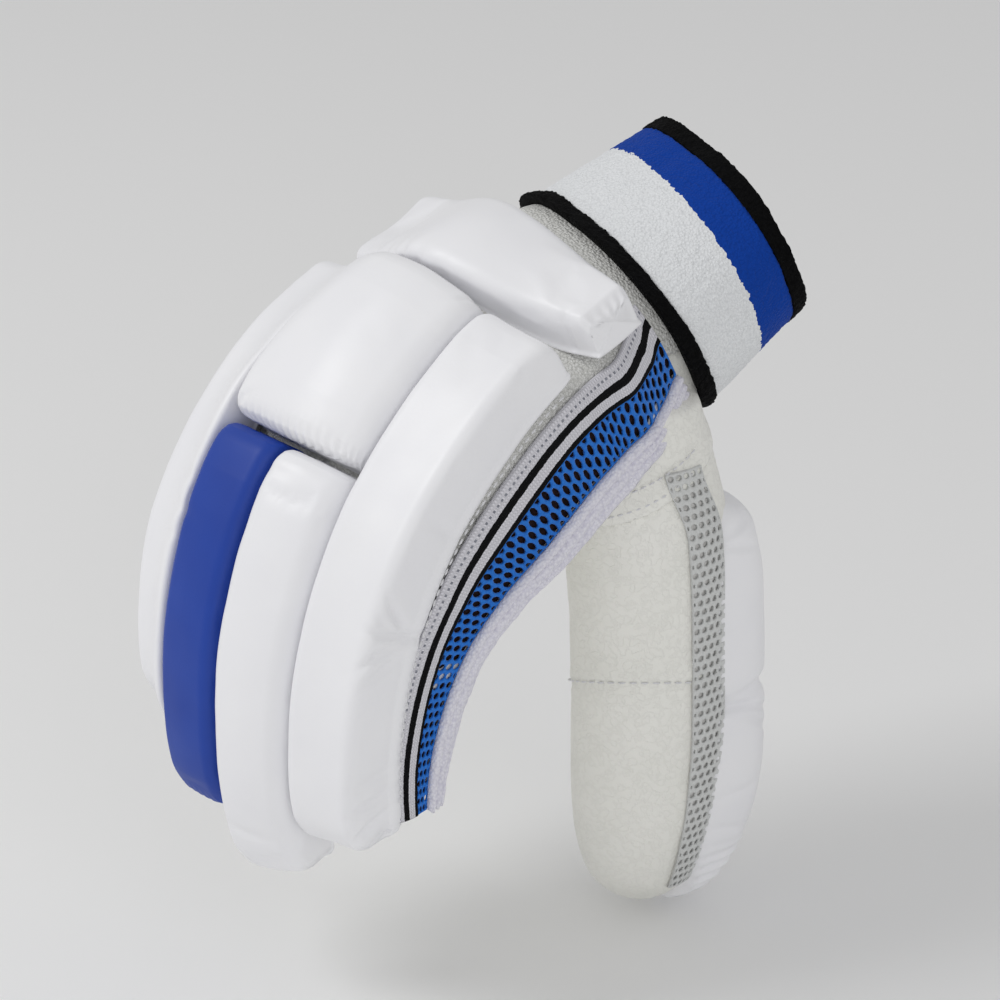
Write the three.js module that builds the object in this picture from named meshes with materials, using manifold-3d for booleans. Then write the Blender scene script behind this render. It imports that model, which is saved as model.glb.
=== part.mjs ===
// Right-hand cricket batting glove in a bent, worn pose, in millimetres.
// +X runs across the hand to the thumb side, +Y to the palm side, +Z up; the fingers point down.
// The origin is the centre of the cuff's opening, where the hand goes in.
import * as THREE from 'three';
import { mergeVertices } from 'three/addons/utils/BufferGeometryUtils.js';
import Module from 'manifold-3d';

const wasm = await Module();
wasm.setup();

// Driving dimensions
const HAND_LENGTH = 226; // along the back, from the cuff's seam to the middle finger's tip
const HAND_HALF_WIDTH = 49.5; // from the middle of the knuckles to either side
const WRIST_HALF_WIDTH = 40.5;
const WRIST_DEPTH = 57; // back to palm at the cuff's seam
const KNUCKLE_DEPTH = 44;
const FINGERTIP_DEPTH = 18;
const FABRIC_WALL = 1.8;
const CLEARANCE = 0.3;
const SMALLEST_STEP = 0.08; // flatter steps than this are left out of cut pieces
const SEAM_DEPTH = 0.4; // where back and palm meet, as a share of the section's depth
const FINGER_CORNER = 8;
const INDEX_REACH = 0.925; // fingertips, as shares of the hand's length
const MIDDLE_REACH = 0.985;
const RING_REACH = 0.915;
const LITTLE_REACH = 0.85;
const WEB = 0.47; // where the hand's own body ends between the fingers, as a share of the hand's length
const FINGER_START = 0.38; // where the fingers' own bodies begin, inside the hand
const KNUCKLE_LINE = 0.487; // where the centre pad ends and two finger rolls begin
const TIP_CAP = 0.022; // how far a roll passes its fingertip, as a share of the hand's length
const ROLL_THICKNESS = 16;
const CENTRE_PAD_THICKNESS = 16.5;
const WRIST_ROLL_THICKNESS = 14;
const DROP_WIDTH = 0.9; // how far out the back goes on dropping, as a share of the half width
const SIDE_FLAP = 5; // how far the outer rolls reach down over the side
const FLAP_WALL = 2.4;
const STRIP_WALL = 1.5;
const STRIP_SEAT = 0.7; // from the skin to a side strip's underside, before the skin is cut out of it
const CUFF_LENGTH = 46;
const CUFF_WALL = 2.6;
const CUFF_TAPER = 0.85; // size of the cuff's opening beside its seam
const CUFF_OVERLAP = 5; // hand tucked into the cuff
const CUFF_BAND = 5; // height of the black band at each end
const CUFF_BAND_PROUD = 0.9;
const THUMB_LENGTH = 150;
const THUMB_HALF_WIDTH = 19.5;
const THUMB_HALF_DEPTH = 22.5;
const THUMB_PAD_REACH = 33.5; // from the sleeve's middle to the pad's crown
const THUMB_PAD_HALF_WIDTH = 15.5;
const THUMB_PAD_LENGTH = 120;
const THUMB_TURN = 76; // degrees from +X to the way the thumb's back faces
const THUMB_NET_BACK = 50; // edges of the thumb's net strip, in degrees from its back to the thumb side
const THUMB_NET_FRONT = 82;
const THUMB_NET_START = 0.2; // ends of the strip, as shares of the thumb's length
const THUMB_NET_END = 0.94;
const THUMB_NET_WALL = 0.9;
const NET_HOLES_ACROSS = 3;
const NET_HOLES_ALONG = 24;
const NET_BAR = 0.3; // share of a net cell that is thread
const ROLL_RING_SPACING = 17; // between a roll's rings along its even stretch

// The back's first point at the cuff's seam, and the thumb's root, before the origin moves to the opening
const WRIST_BACK = { y: 41, z: 196 };
const THUMB_ROOT = { x: 38, y: 32, z: 157 };

// Limits of a section's corner radii: plain and fully oval, as shares of its half width and of its depth
const CORNER_LIMITS = { width: 0.85, ovalWidth: 0.97, depth: 0.42, ovalDepth: 0.485 };

// Outer rolls' flaps: share of SIDE_FLAP at the top end, and where along the roll the flap is full
const FLAP_START = 0.25;
const FLAP_GROWN = 0.5;

// The thumb pad's section: powers that square its crown and its sides, and its foot as shares of other sizes
const PAD_SHAPE = { crown: 0.55, side: 0.75, foot: 0.3, footLimit: 0.5, underside: 0.6, undersideHalf: 0.5 };
const PAD_TIP = 1.006; // the pad's tip, as a share of the thumb's length

// Faces: rings along a body, sides round the thumb, and steps of a strip along and across
const HAND_RINGS = [0, 0.03, 0.09, 0.17, 0.24, 0.32, 0.4, WEB - 0.03];
const HAND_END_SCALE = 0.985;
const FINGER_RINGS = 4;
const FINGER_CORNER_FACES = 2;
const FINGERTIP_RINGS = [0.6, 1]; // shares of the rounded tip
const FINGERTIP_ROUNDING = 0.93;
const THUMB_RINGS = [0.12, 0.24, 0.42, 0.62, 0.76, 0.86, 0.93];
const THUMB_LAST_RING = 0.975;
const THUMB_SIDES = 18;
const THUMB_HOLLOW_START = -0.12; // the thumb's hollow begins above its sleeve, inside the palm
const PAD_SIDES = 8;
const ZONE_STEPS = 14;
const FINGER_ZONE_STEPS = 8;
const SIDE_STEPS = { along: 18, across: 2 };
const GUSSET_STEPS = { along: 14, across: 3 };
const THUMB_NET_STEPS = { along: 14, across: 2 };

const WHITE = 0xf2f2f4;
const ROYAL_BLUE = 0x1a3aa0;
const NET_BLUE = 0x2a78cc;
const BLACK = 0x111114;
const LEATHER = 0xd4d8d0;
const FABRIC_GREY = 0xd9d9d6;

const rad = THREE.MathUtils.degToRad;
const mix = THREE.MathUtils.lerp;

// Sections down the back of the hand and fingers. share: of HAND_LENGTH. travel, lean: degrees below
// level of the path and of the section's axis. yaw: degrees that the section's plane turns to the thumb
// side. depth: 0 is WRIST_DEPTH, 1 KNUCKLE_DEPTH, 2 FINGERTIP_DEPTH. width: 0 is WRIST_HALF_WIDTH, 1
// HAND_HALF_WIDTH. round: share of oval in the corners. dropIn, dropOut: of KNUCKLE_DEPTH, at the thumb
// side and the other. flat: share of the outer half that stays level. narrow: of the width.
const HAND_COLUMNS = [
  'share', 'travel', 'lean', 'yaw', 'depth', 'width', 'round', 'dropIn', 'dropOut', 'flat', 'narrow',
];
const HAND_SECTIONS = [
  [0.0, 0, 28, 12, 0.0, 0.0, 0.9, 0.0, 0.0, 0.0, 1.0],
  [0.03, 0, 28, 12, 0.0, 0.0, 0.9, 0.0, 0.0, 0.0, 1.0],
  [0.09, 3, 24, 8, 0.15, 0.5, 0.6, 0.14, 0.24, 0.0, 1.0],
  [0.17, 13, 24, 3, 0.4, 1.0, 0.3, 0.26, 0.4, 0.0, 1.0],
  [0.27, 31, 33, 0, 0.7, 1.0, 0.08, 0.28, 0.4, 0.15, 1.0],
  [0.37, 42, 43, 0, 0.88, 1.0, 0.0, 0.28, 0.33, 0.3, 1.0],
  [0.47, 52, 52, 0, 1.05, 1.0, 0.0, 0.26, 0.29, 0.42, 1.0],
  [0.57, 63, 63, 0, 1.32, 1.0, 0.0, 0.24, 0.26, 0.42, 1.0],
  [0.67, 75, 75, 0, 1.58, 1.0, 0.0, 0.24, 0.23, 0.42, 0.98],
  [0.77, 86, 86, 0, 1.76, 1.0, 0.0, 0.24, 0.23, 0.42, 0.95],
  [0.87, 96, 96, 0, 1.9, 1.0, 0.0, 0.24, 0.23, 0.42, 0.91],
  [1.0, 112, 112, 0, 2.0, 1.0, 0.0, 0.24, 0.23, 0.42, 0.86],
  [1.1, 122, 122, 0, 2.0, 1.0, 0.0, 0.24, 0.23, 0.42, 0.84],
].map((row) => Object.fromEntries(row.map((value, i) => [HAND_COLUMNS[i], value])));

// Bands along the thumb side. share: of HAND_LENGTH. The others: shares of the side from back to palm.
const SIDE_BANDS = [
  { share: 0.045, tape: 0.1, net: 0.24, terry: 0.38, end: 0.5 },
  { share: 0.15, tape: 0.13, net: 0.3, terry: 0.52, end: 0.66 },
  { share: 0.27, tape: 0.18, net: 0.38, terry: 0.68, end: 0.86 },
  { share: 0.4, tape: 0.22, net: 0.42, terry: 0.72, end: 0.9 },
  { share: 0.52, tape: 0.23, net: 0.43, terry: 0.72, end: 0.91 },
  { share: 0.66, tape: 0.22, net: 0.42, terry: 0.68, end: 0.92 },
  { share: 0.8, tape: 0.22, net: 0.42, terry: 0.62, end: 0.9 },
  { share: 0.92, tape: 0.26, net: 0.44, terry: 0.58, end: 0.76 },
];

// The plain gusset along the little finger's side, by the same measures
const GUSSET_BANDS = [
  { share: 0.045, from: 0.12, to: 0.5 },
  { share: 0.2, from: 0.16, to: 0.7 },
  { share: 0.4, from: 0.24, to: 0.88 },
  { share: 0.6, from: 0.26, to: 0.9 },
  { share: 0.8, from: 0.3, to: 0.86 },
];

// Half section of a roll from side to side. across: share of its width. up: share of its thickness.
const ROLL_PROFILE = [
  { across: 0.0, up: 0.5 },
  { across: 0.03, up: 0.76 },
  { across: 0.13, up: 0.92 },
  { across: 0.34, up: 1.0 },
  { across: 0.62, up: 1.0 },
  { across: 0.85, up: 0.93 },
  { across: 0.965, up: 0.78 },
  { across: 1.0, up: 0.5 },
];

// Size of a roll's section towards its two ends. along: mm from the end as a share of the roll's thickness.
const ROLL_END = [
  { along: 0.0, up: 0.62, inset: 0.06 },
  { along: 0.12, up: 0.84, inset: 0.025 },
  { along: 0.35, up: 0.96, inset: 0.005 },
  { along: 0.8, up: 1.0, inset: 0.0 },
];
const ROLL_TIP = [
  { along: 0.0, up: 0.3, inset: 0.24 },
  { along: 0.1, up: 0.58, inset: 0.13 },
  { along: 0.32, up: 0.83, inset: 0.045 },
  { along: 0.75, up: 0.97, inset: 0.0 },
  { along: 1.2, up: 1.0, inset: 0.0 },
];

// The wrist roll from the little finger's side to the thumb's side. across: of HAND_HALF_WIDTH. from, to:
// edges as shares of HAND_LENGTH. up: of WRIST_ROLL_THICKNESS.
const WRIST_ROLL_SECTIONS = [
  { across: -1.02, from: 0.11, to: 0.2, up: 0.5 },
  { across: -0.97, from: 0.1, to: 0.215, up: 0.7 },
  { across: -0.75, from: 0.09, to: 0.228, up: 0.82 },
  { across: -0.4, from: 0.082, to: 0.234, up: 0.86 },
  { across: 0.0, from: 0.078, to: 0.235, up: 0.94 },
  { across: 0.4, from: 0.078, to: 0.228, up: 1.0 },
  { across: 0.75, from: 0.08, to: 0.212, up: 1.0 },
  { across: 0.98, from: 0.085, to: 0.196, up: 0.95 },
  { across: 1.05, from: 0.09, to: 0.19, up: 0.7 },
];

// The thumb from its root to its tip. share: of THUMB_LENGTH. size: of its half width and depth. back: shift
// towards its back and out: shift to the thumb side, as shares of THUMB_HALF_DEPTH.
const THUMB_SECTIONS = [
  { share: 0.0, size: 0.9, back: -0.2, out: -0.2 },
  { share: 0.12, size: 0.98, back: -0.14, out: -0.1 },
  { share: 0.24, size: 1.04, back: -0.06, out: 0.02 },
  { share: 0.42, size: 1.0, back: 0.0, out: 0.08 },
  { share: 0.62, size: 1.0, back: 0.02, out: 0.08 },
  { share: 0.76, size: 0.95, back: 0.0, out: 0.06 },
  { share: 0.86, size: 0.85, back: -0.03, out: 0.04 },
  { share: 0.93, size: 0.7, back: -0.04, out: 0.02 },
  { share: 0.975, size: 0.48, back: -0.02, out: 0.0 },
  { share: 1.0, size: 0.22, back: 0.0, out: 0.0 },
];

// The thumb's pad from its top end to its tip. share: of THUMB_PAD_LENGTH. reach, width: of the named sizes.
const THUMB_PAD_SECTIONS = [
  { share: 0.0, reach: 0.72, width: 0.72 },
  { share: 0.02, reach: 0.84, width: 0.86 },
  { share: 0.06, reach: 0.92, width: 0.95 },
  { share: 0.2, reach: 0.98, width: 1.0 },
  { share: 0.42, reach: 1.0, width: 1.0 },
  { share: 0.45, reach: 0.94, width: 0.97 },
  { share: 0.48, reach: 1.0, width: 1.0 },
  { share: 0.65, reach: 0.99, width: 1.0 },
  { share: 0.78, reach: 0.93, width: 0.96 },
  { share: 0.88, reach: 0.82, width: 0.86 },
  { share: 0.95, reach: 0.66, width: 0.7 },
  { share: 0.985, reach: 0.5, width: 0.5 },
  { share: 1.0, reach: 0.38, width: 0.3 },
];

// A value of one column at a place in a table, smooth between its rows
function readTable(table, key, at, column) {
  const last = table.length - 1;
  if (at <= table[0][key]) {
    return table[0][column];
  }
  if (at >= table[last][key]) {
    return table[last][column];
  }
  let i = 0;
  while (table[i + 1][key] < at) {
    i += 1;
  }
  const a = table[i];
  const b = table[i + 1];
  const span = b[key] - a[key];
  const slope = (b[column] - a[column]) / span;
  const slopeAt = (row) => {
    if (row === 0 || row === last) {
      return slope;
    }
    const before = (table[row][column] - table[row - 1][column]) / (table[row][key] - table[row - 1][key]);
    const after = (table[row + 1][column] - table[row][column]) / (table[row + 1][key] - table[row][key]);
    return before * after <= 0 ? 0 : (2 * before * after) / (before + after);
  };
  const t = (at - a[key]) / span;
  const h00 = (1 + 2 * t) * (1 - t) * (1 - t);
  const h01 = t * t * (3 - 2 * t);
  const h10 = t * (1 - t) * (1 - t);
  const h11 = t * t * (t - 1);
  return h00 * a[column] + h01 * b[column] + (h10 * slopeAt(i) + h11 * slopeAt(i + 1)) * span;
}

const handAt = (share, column) => readTable(HAND_SECTIONS, 'share', share, column);

// The path down the back, worked out once in small steps
const PATH_STEPS = 220;
const PATH_END = 1.1;
const backPath = [{ y: WRIST_BACK.y, z: WRIST_BACK.z }];
for (let i = 0; i < PATH_STEPS; i += 1) {
  const angle = rad(handAt(((i + 0.5) / PATH_STEPS) * PATH_END, 'travel'));
  const step = (HAND_LENGTH * PATH_END) / PATH_STEPS;
  const from = backPath[i];
  backPath.push({ y: from.y - Math.cos(angle) * step, z: from.z - Math.sin(angle) * step });
}

function backPoint(share) {
  const at = THREE.MathUtils.clamp((share / PATH_END) * PATH_STEPS, 0, PATH_STEPS - 0.001);
  const i = Math.floor(at);
  const y = mix(backPath[i].y, backPath[i + 1].y, at - i);
  const z = mix(backPath[i].z, backPath[i + 1].z, at - i);
  return { y, z };
}

function handDepth(share) {
  const grade = handAt(share, 'depth');
  return grade < 1 ? mix(WRIST_DEPTH, KNUCKLE_DEPTH, grade) : mix(KNUCKLE_DEPTH, FINGERTIP_DEPTH, grade - 1);
}

const handHalfWidth = (share) => mix(WRIST_HALF_WIDTH, HAND_HALF_WIDTH, handAt(share, 'width'));

// How far the back drops towards the two sides
function sideDrop(share, x) {
  const level = x > 0 ? 0 : handAt(share, 'flat');
  const across = THREE.MathUtils.clamp((Math.abs(x) / HAND_HALF_WIDTH - level) / (DROP_WIDTH - level), 0, 1);
  const most = handAt(share, x > 0 ? 'dropIn' : 'dropOut') * KNUCKLE_DEPTH;
  return most * (0.5 - 0.5 * Math.cos(Math.PI * across));
}

// A point of the glove: x across the hand, down from its back towards its palm
function handPoint(share, x, down) {
  const start = backPoint(share);
  const lean = rad(handAt(share, 'lean'));
  const drop = down + sideDrop(share, x);
  const turn = -x * Math.tan(rad(handAt(share, 'yaw')));
  const y = start.y + Math.sin(lean) * drop + Math.cos(lean) * turn;
  const z = start.z - Math.cos(lean) * drop + Math.sin(lean) * turn;
  return new THREE.Vector3(x * handAt(share, 'narrow'), y, z);
}

// The wrist's cuff goes straight on from the seam's section
const cuffLean = rad(HAND_SECTIONS[0].lean);
const cuffYaw = rad(HAND_SECTIONS[0].yaw);
const cuffAxis = new THREE.Vector3(
  Math.sin(cuffYaw), Math.cos(cuffYaw) * Math.cos(cuffLean), Math.cos(cuffYaw) * Math.sin(cuffLean));
const seamMiddle = handPoint(0, 0, WRIST_DEPTH / 2);
const openingAt = CUFF_LENGTH - CUFF_OVERLAP;
const opening = seamMiddle.clone().addScaledVector(cuffAxis, openingAt);

// Corner radii of a section; the fingers' half width limits the plain corner along the hand's sides
function cornerAcross(limitingHalf, ovalHalf, round) {
  const plain = Math.min(FINGER_CORNER, limitingHalf * CORNER_LIMITS.width);
  return mix(plain, ovalHalf * CORNER_LIMITS.ovalWidth, round);
}

function cornerDown(depth, round) {
  const plain = Math.min(FINGER_CORNER, depth * CORNER_LIMITS.depth);
  return mix(plain, depth * CORNER_LIMITS.ovalDepth, round);
}

// Faces of a hand section: in each rounded corner, and points added along its back and palm
const HAND_CORNER = 3;
const HAND_BETWEEN = 2;

// One closed ring of a section: corners are quarter ovals, with extra points along back and palm
function sectionRing(share, left, right, grow, tipScale, corner, between) {
  const depth = handDepth(share);
  const round = handAt(share, 'round');
  const halfWidth = (right - left) / 2;
  const rx = cornerAcross(halfWidth, halfWidth, round);
  const ry = cornerDown(depth, round);
  const middleX = (left + right) / 2;
  const middleDown = depth / 2;
  const flat = [];
  const quarter = (signX, signDown, startAngle) => {
    for (let k = 0; k <= corner; k += 1) {
      const angle = startAngle + (k / corner) * (Math.PI / 2);
      const cx = signX * (halfWidth - rx);
      const cd = signDown * (depth / 2 - ry);
      flat.push([cx + Math.cos(angle) * (rx + grow), cd + Math.sin(angle) * (ry + grow)]);
    }
  };
  const line = (fromX, toX, down) => {
    for (let k = 1; k <= between; k += 1) {
      flat.push([mix(fromX, toX, k / (between + 1)), down]);
    }
  };
  const edge = halfWidth - rx;
  quarter(1, 1, 0);
  line(edge, -edge, depth / 2 + grow);
  quarter(-1, 1, Math.PI / 2);
  quarter(-1, -1, Math.PI);
  line(-edge, edge, -depth / 2 - grow);
  quarter(1, -1, Math.PI * 1.5);
  return flat.map(([x, down]) => handPoint(share, middleX + x * tipScale, middleDown + down * tipScale));
}

// A closed body through rings of equally many points, its ends closed by fans
function loft(rings) {
  const count = rings[0].length;
  const positions = [];
  const indices = [];
  rings.forEach((ring) => ring.forEach((p) => positions.push(p.x, p.y, p.z)));
  for (let r = 0; r + 1 < rings.length; r += 1) {
    for (let i = 0; i < count; i += 1) {
      const a = r * count + i;
      const b = r * count + ((i + 1) % count);
      indices.push(a, b, b + count, a, b + count, a + count);
    }
  }
  const cap = (ring, start, flip) => {
    const middle = new THREE.Vector3();
    ring.forEach((p) => middle.addScaledVector(p, 1 / count));
    const at = positions.length / 3;
    positions.push(middle.x, middle.y, middle.z);
    for (let i = 0; i < count; i += 1) {
      const a = start + i;
      const b = start + ((i + 1) % count);
      indices.push(...(flip ? [at, b, a] : [at, a, b]));
    }
  };
  cap(rings[0], 0, true);
  cap(rings[rings.length - 1], (rings.length - 1) * count, false);
  return closedGeometry(positions, indices);
}

// Faces turned outwards, judged by the sign of the volume
function closedGeometry(positions, indices) {
  let volume = 0;
  const a = new THREE.Vector3();
  const b = new THREE.Vector3();
  const c = new THREE.Vector3();
  for (let i = 0; i < indices.length; i += 3) {
    a.fromArray(positions, indices[i] * 3);
    b.fromArray(positions, indices[i + 1] * 3);
    c.fromArray(positions, indices[i + 2] * 3);
    volume += a.dot(b.cross(c));
  }
  const ordered = volume >= 0 ? indices : indices.slice().reverse();
  const geometry = new THREE.BufferGeometry();
  geometry.setAttribute('position', new THREE.Float32BufferAttribute(positions, 3));
  geometry.setIndex(ordered);
  return geometry;
}

function toSolid(geometry) {
  const merged = mergeVertices(geometry, 1e-4);
  const mesh = new wasm.Mesh({
    numProp: 3,
    vertProperties: new Float32Array(merged.attributes.position.array),
    triVerts: new Uint32Array(merged.index.array),
  });
  return new wasm.Manifold(mesh);
}

// The largest piece of a solid as a geometry, without the slivers that a cut can leave
function toGeometry(solid) {
  const pieces = solid.decompose();
  const largest = pieces.reduce((best, piece) => (piece.volume() > best.volume() ? piece : best));
  const mesh = largest.simplify(SMALLEST_STEP).getMesh();
  const geometry = new THREE.BufferGeometry();
  geometry.setAttribute('position', new THREE.Float32BufferAttribute(mesh.vertProperties, 3));
  geometry.setIndex(new THREE.Uint32BufferAttribute(mesh.triVerts, 1));
  return geometry;
}

const spread = (from, to, steps) => Array.from({ length: steps + 1 }, (_, i) => mix(from, to, i / steps));

// A clearance as a share of the hand's length
const stepOn = CLEARANCE / HAND_LENGTH;

// Hand and fingers as full bodies, grown or shrunk all round
const fingerPitch = HAND_HALF_WIDTH / 2;
const FINGERS = [
  { name: 'index', slot: 1.5, reach: INDEX_REACH },
  { name: 'middle', slot: 0.5, reach: MIDDLE_REACH },
  { name: 'ring', slot: -0.5, reach: RING_REACH },
  { name: 'little', slot: -1.5, reach: LITTLE_REACH },
];

function handBody(grow) {
  const rings = HAND_RINGS.map((share) => {
    const half = handHalfWidth(share);
    return sectionRing(share, -half, half, grow, 1, HAND_CORNER, HAND_BETWEEN);
  });
  const end = WEB + grow / HAND_LENGTH;
  const half = HAND_HALF_WIDTH;
  rings.push(sectionRing(end, -half, half, grow, HAND_END_SCALE, HAND_CORNER, HAND_BETWEEN));
  if (grow !== 0) {
    rings.unshift(rings[0].map((p) => p.clone().addScaledVector(cuffAxis, FABRIC_WALL)));
  }
  return toSolid(loft(rings));
}

function fingerBody(finger, grow) {
  const left = (finger.slot - 0.5) * fingerPitch + CLEARANCE;
  const right = (finger.slot + 0.5) * fingerPitch - CLEARANCE;
  const reach = finger.reach + grow / HAND_LENGTH;
  const tipRound = FINGERTIP_DEPTH / 2 / HAND_LENGTH;
  const rings = [];
  spread(FINGER_START, reach - tipRound, FINGER_RINGS).forEach((share) => {
    rings.push(sectionRing(share, left, right, grow, 1, FINGER_CORNER_FACES, 0));
  });
  FINGERTIP_RINGS.forEach((t) => {
    const scale = Math.sqrt(1 - t * t * FINGERTIP_ROUNDING);
    rings.push(sectionRing(reach - tipRound * (1 - t), left, right, grow, scale, FINGER_CORNER_FACES, 0));
  });
  return toSolid(loft(rings));
}

function gloveBody(grow) {
  return FINGERS.reduce((body, finger) => body.add(fingerBody(finger, grow)), handBody(grow));
}

// Well past either side of the hand, for the bodies that part it
const farOut = HAND_HALF_WIDTH * 1.6;

// The space behind the seam between back and palm; its first ring lies past the cuff's seam
function backZone(grow) {
  const beforeSeam = -0.02;
  const rings = spread(beforeSeam, PATH_END, ZONE_STEPS).map((share) => {
    const at = Math.max(share, 0);
    const seam = handDepth(share) * SEAM_DEPTH + grow - sideDrop(at, farOut);
    const ring = [
      handPoint(at, farOut, -farOut),
      handPoint(at, -farOut, -farOut),
      handPoint(at, -farOut, seam),
      handPoint(at, farOut, seam),
    ];
    return share < 0 ? ring.map((p) => p.addScaledVector(cuffAxis, CUFF_OVERLAP)) : ring;
  });
  return toSolid(loft(rings));
}

// The space beyond the hand's own body, where the fingers stand free
function fingerZone() {
  const rings = spread(WEB + 2 * stepOn, PATH_END, FINGER_ZONE_STEPS).map((share) => [
    handPoint(share, farOut, -farOut),
    handPoint(share, -farOut, -farOut),
    handPoint(share, -farOut, farOut),
    handPoint(share, farOut, farOut),
  ]);
  return toSolid(loft(rings));
}

// The thumb's own frame: back is the way its pad faces, out is across it to the thumb side
const thumbBack = new THREE.Vector3(Math.cos(rad(THUMB_TURN)), Math.sin(rad(THUMB_TURN)), 0);
const thumbOut = new THREE.Vector3(Math.sin(rad(THUMB_TURN)), -Math.cos(rad(THUMB_TURN)), 0);
const thumbAt = (share, column) => readTable(THUMB_SECTIONS, 'share', share, column);

function thumbPoint(share, back, out) {
  const point = new THREE.Vector3(THUMB_ROOT.x, THUMB_ROOT.y, THUMB_ROOT.z - share * THUMB_LENGTH);
  point.addScaledVector(thumbBack, back + thumbAt(share, 'back') * THUMB_HALF_DEPTH);
  return point.addScaledVector(thumbOut, out + thumbAt(share, 'out') * THUMB_HALF_DEPTH);
}

// A point of the thumb's sleeve, grown by that much: angle 0 is its back, 90 degrees its thumb side
function thumbSkinPoint(share, angle, grow) {
  const size = thumbAt(share, 'size');
  const back = (THUMB_HALF_DEPTH * size + grow) * Math.cos(angle);
  return thumbPoint(share, back, (THUMB_HALF_WIDTH * size + grow) * Math.sin(angle));
}

function thumbBody(grow, from) {
  const end = grow / THUMB_LENGTH;
  const shares = [from, ...THUMB_RINGS, THUMB_LAST_RING + end, 1 + end];
  const angles = spread(0, 2 * Math.PI, THUMB_SIDES).slice(0, THUMB_SIDES);
  const ringAt = (share) => angles.map((angle) => thumbSkinPoint(Math.min(share, 1 + end), angle, grow));
  return toSolid(loft(shares.map(ringAt)));
}

// One point of the skin along a side: around is 0 at the back's corner and 1 at the palm's corner
function sidePoint(share, around, out, sign) {
  const depth = handDepth(share);
  const round = handAt(share, 'round');
  const half = handHalfWidth(share);
  const ry = cornerDown(depth, round);
  const rx = cornerAcross(fingerPitch / 2 - CLEARANCE, half, round);
  const outer = half - CLEARANCE * Math.min(1, share / WEB);
  const down = around * depth;
  let x = outer + out;
  let shift = 0;
  if (down < ry) {
    const angle = Math.acos(Math.min(1, (ry - down) / ry));
    x = outer - rx + Math.sin(angle) * (rx + out);
    shift = -Math.cos(angle) * out;
  } else if (down > depth - ry) {
    const angle = Math.acos(Math.min(1, (down - depth + ry) / ry));
    x = outer - rx + Math.sin(angle) * (rx + out);
    shift = Math.cos(angle) * out;
  }
  return handPoint(share, sign * x, down + shift);
}

// A closed strip between two surfaces, each a function of two shares
function sheet(inner, outer, { along: alongSteps, across: acrossSteps }) {
  const positions = [];
  const indices = [];
  const columns = acrossSteps + 1;
  const rows = alongSteps + 1;
  [outer, inner].forEach((surface) => {
    for (let i = 0; i < rows; i += 1) {
      for (let j = 0; j < columns; j += 1) {
        const p = surface(i / alongSteps, j / acrossSteps);
        positions.push(p.x, p.y, p.z);
      }
    }
  });
  const under = rows * columns;
  const quad = (a, b, c, d) => indices.push(a, b, c, a, c, d);
  for (let i = 0; i < alongSteps; i += 1) {
    for (let j = 0; j < acrossSteps; j += 1) {
      const a = i * columns + j;
      quad(a, a + 1, a + columns + 1, a + columns);
      quad(under + a, under + a + columns, under + a + columns + 1, under + a + 1);
    }
    const left = i * columns;
    const right = left + acrossSteps;
    quad(left + columns, under + left + columns, under + left, left);
    quad(right, under + right, under + right + columns, right + columns);
  }
  for (let j = 0; j < acrossSteps; j += 1) {
    const end = alongSteps * columns + j;
    quad(j, under + j, under + j + 1, j + 1);
    quad(end + 1, under + end + 1, under + end, end);
  }
  return closedGeometry(positions, indices);
}

// The same strip with a hole through every cell
function netSheet(inner, outer, alongSteps, acrossSteps, bar) {
  const positions = [];
  const indices = [];
  const corners = [];
  const holes = [];
  const add = (p) => {
    positions.push(p.x, p.y, p.z);
    return positions.length / 3 - 1;
  };
  [outer, inner].forEach((surface, side) => {
    const cornerRow = (u) => spread(0, 1, acrossSteps).map((v) => add(surface(u, v)));
    corners[side] = spread(0, 1, alongSteps).map(cornerRow);
    holes[side] = [];
    for (let i = 0; i < alongSteps; i += 1) {
      holes[side][i] = [];
      for (let j = 0; j < acrossSteps; j += 1) {
        const low = bar / 2;
        const high = 1 - bar / 2;
        const spots = [[low, low], [low, high], [high, high], [high, low]];
        holes[side][i][j] = spots.map(([du, dv]) => {
          return add(surface((i + du) / alongSteps, (j + dv) / acrossSteps));
        });
      }
    }
  });
  const quad = (a, b, c, d) => indices.push(a, b, c, a, c, d);
  const cellCorners = (side, i, j) => {
    const c = corners[side];
    return [c[i][j], c[i][j + 1], c[i + 1][j + 1], c[i + 1][j]];
  };
  for (let i = 0; i < alongSteps; i += 1) {
    for (let j = 0; j < acrossSteps; j += 1) {
      for (let k = 0; k < 4; k += 1) {
        const n = (k + 1) % 4;
        const top = cellCorners(0, i, j);
        const low = cellCorners(1, i, j);
        quad(top[k], top[n], holes[0][i][j][n], holes[0][i][j][k]);
        quad(low[n], low[k], holes[1][i][j][k], holes[1][i][j][n]);
        quad(holes[0][i][j][k], holes[0][i][j][n], holes[1][i][j][n], holes[1][i][j][k]);
      }
    }
  }
  for (let i = 0; i < alongSteps; i += 1) {
    const t = corners[0];
    const l = corners[1];
    quad(t[i + 1][0], l[i + 1][0], l[i][0], t[i][0]);
    const e = acrossSteps;
    quad(t[i][e], l[i][e], l[i + 1][e], t[i + 1][e]);
  }
  for (let j = 0; j < acrossSteps; j += 1) {
    const t = corners[0];
    const l = corners[1];
    const e = alongSteps;
    quad(t[0][j], l[0][j], l[0][j + 1], t[0][j + 1]);
    quad(t[e][j + 1], l[e][j + 1], l[e][j], t[e][j]);
  }
  return closedGeometry(positions, indices);
}

// Surface of one band along a side, half a clearance short of each neighbour
function bandSurface(table, fromColumn, toColumn, out, sign) {
  const first = table[0].share;
  const last = table[table.length - 1].share;
  return (along, across) => {
    const share = mix(first, last, along);
    const depth = handDepth(share);
    const low = readTable(table, 'share', share, fromColumn) + CLEARANCE / 2 / depth;
    const high = readTable(table, 'share', share, toColumn) - CLEARANCE / 2 / depth;
    return sidePoint(share, mix(low, high, across), out, sign);
  };
}

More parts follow.
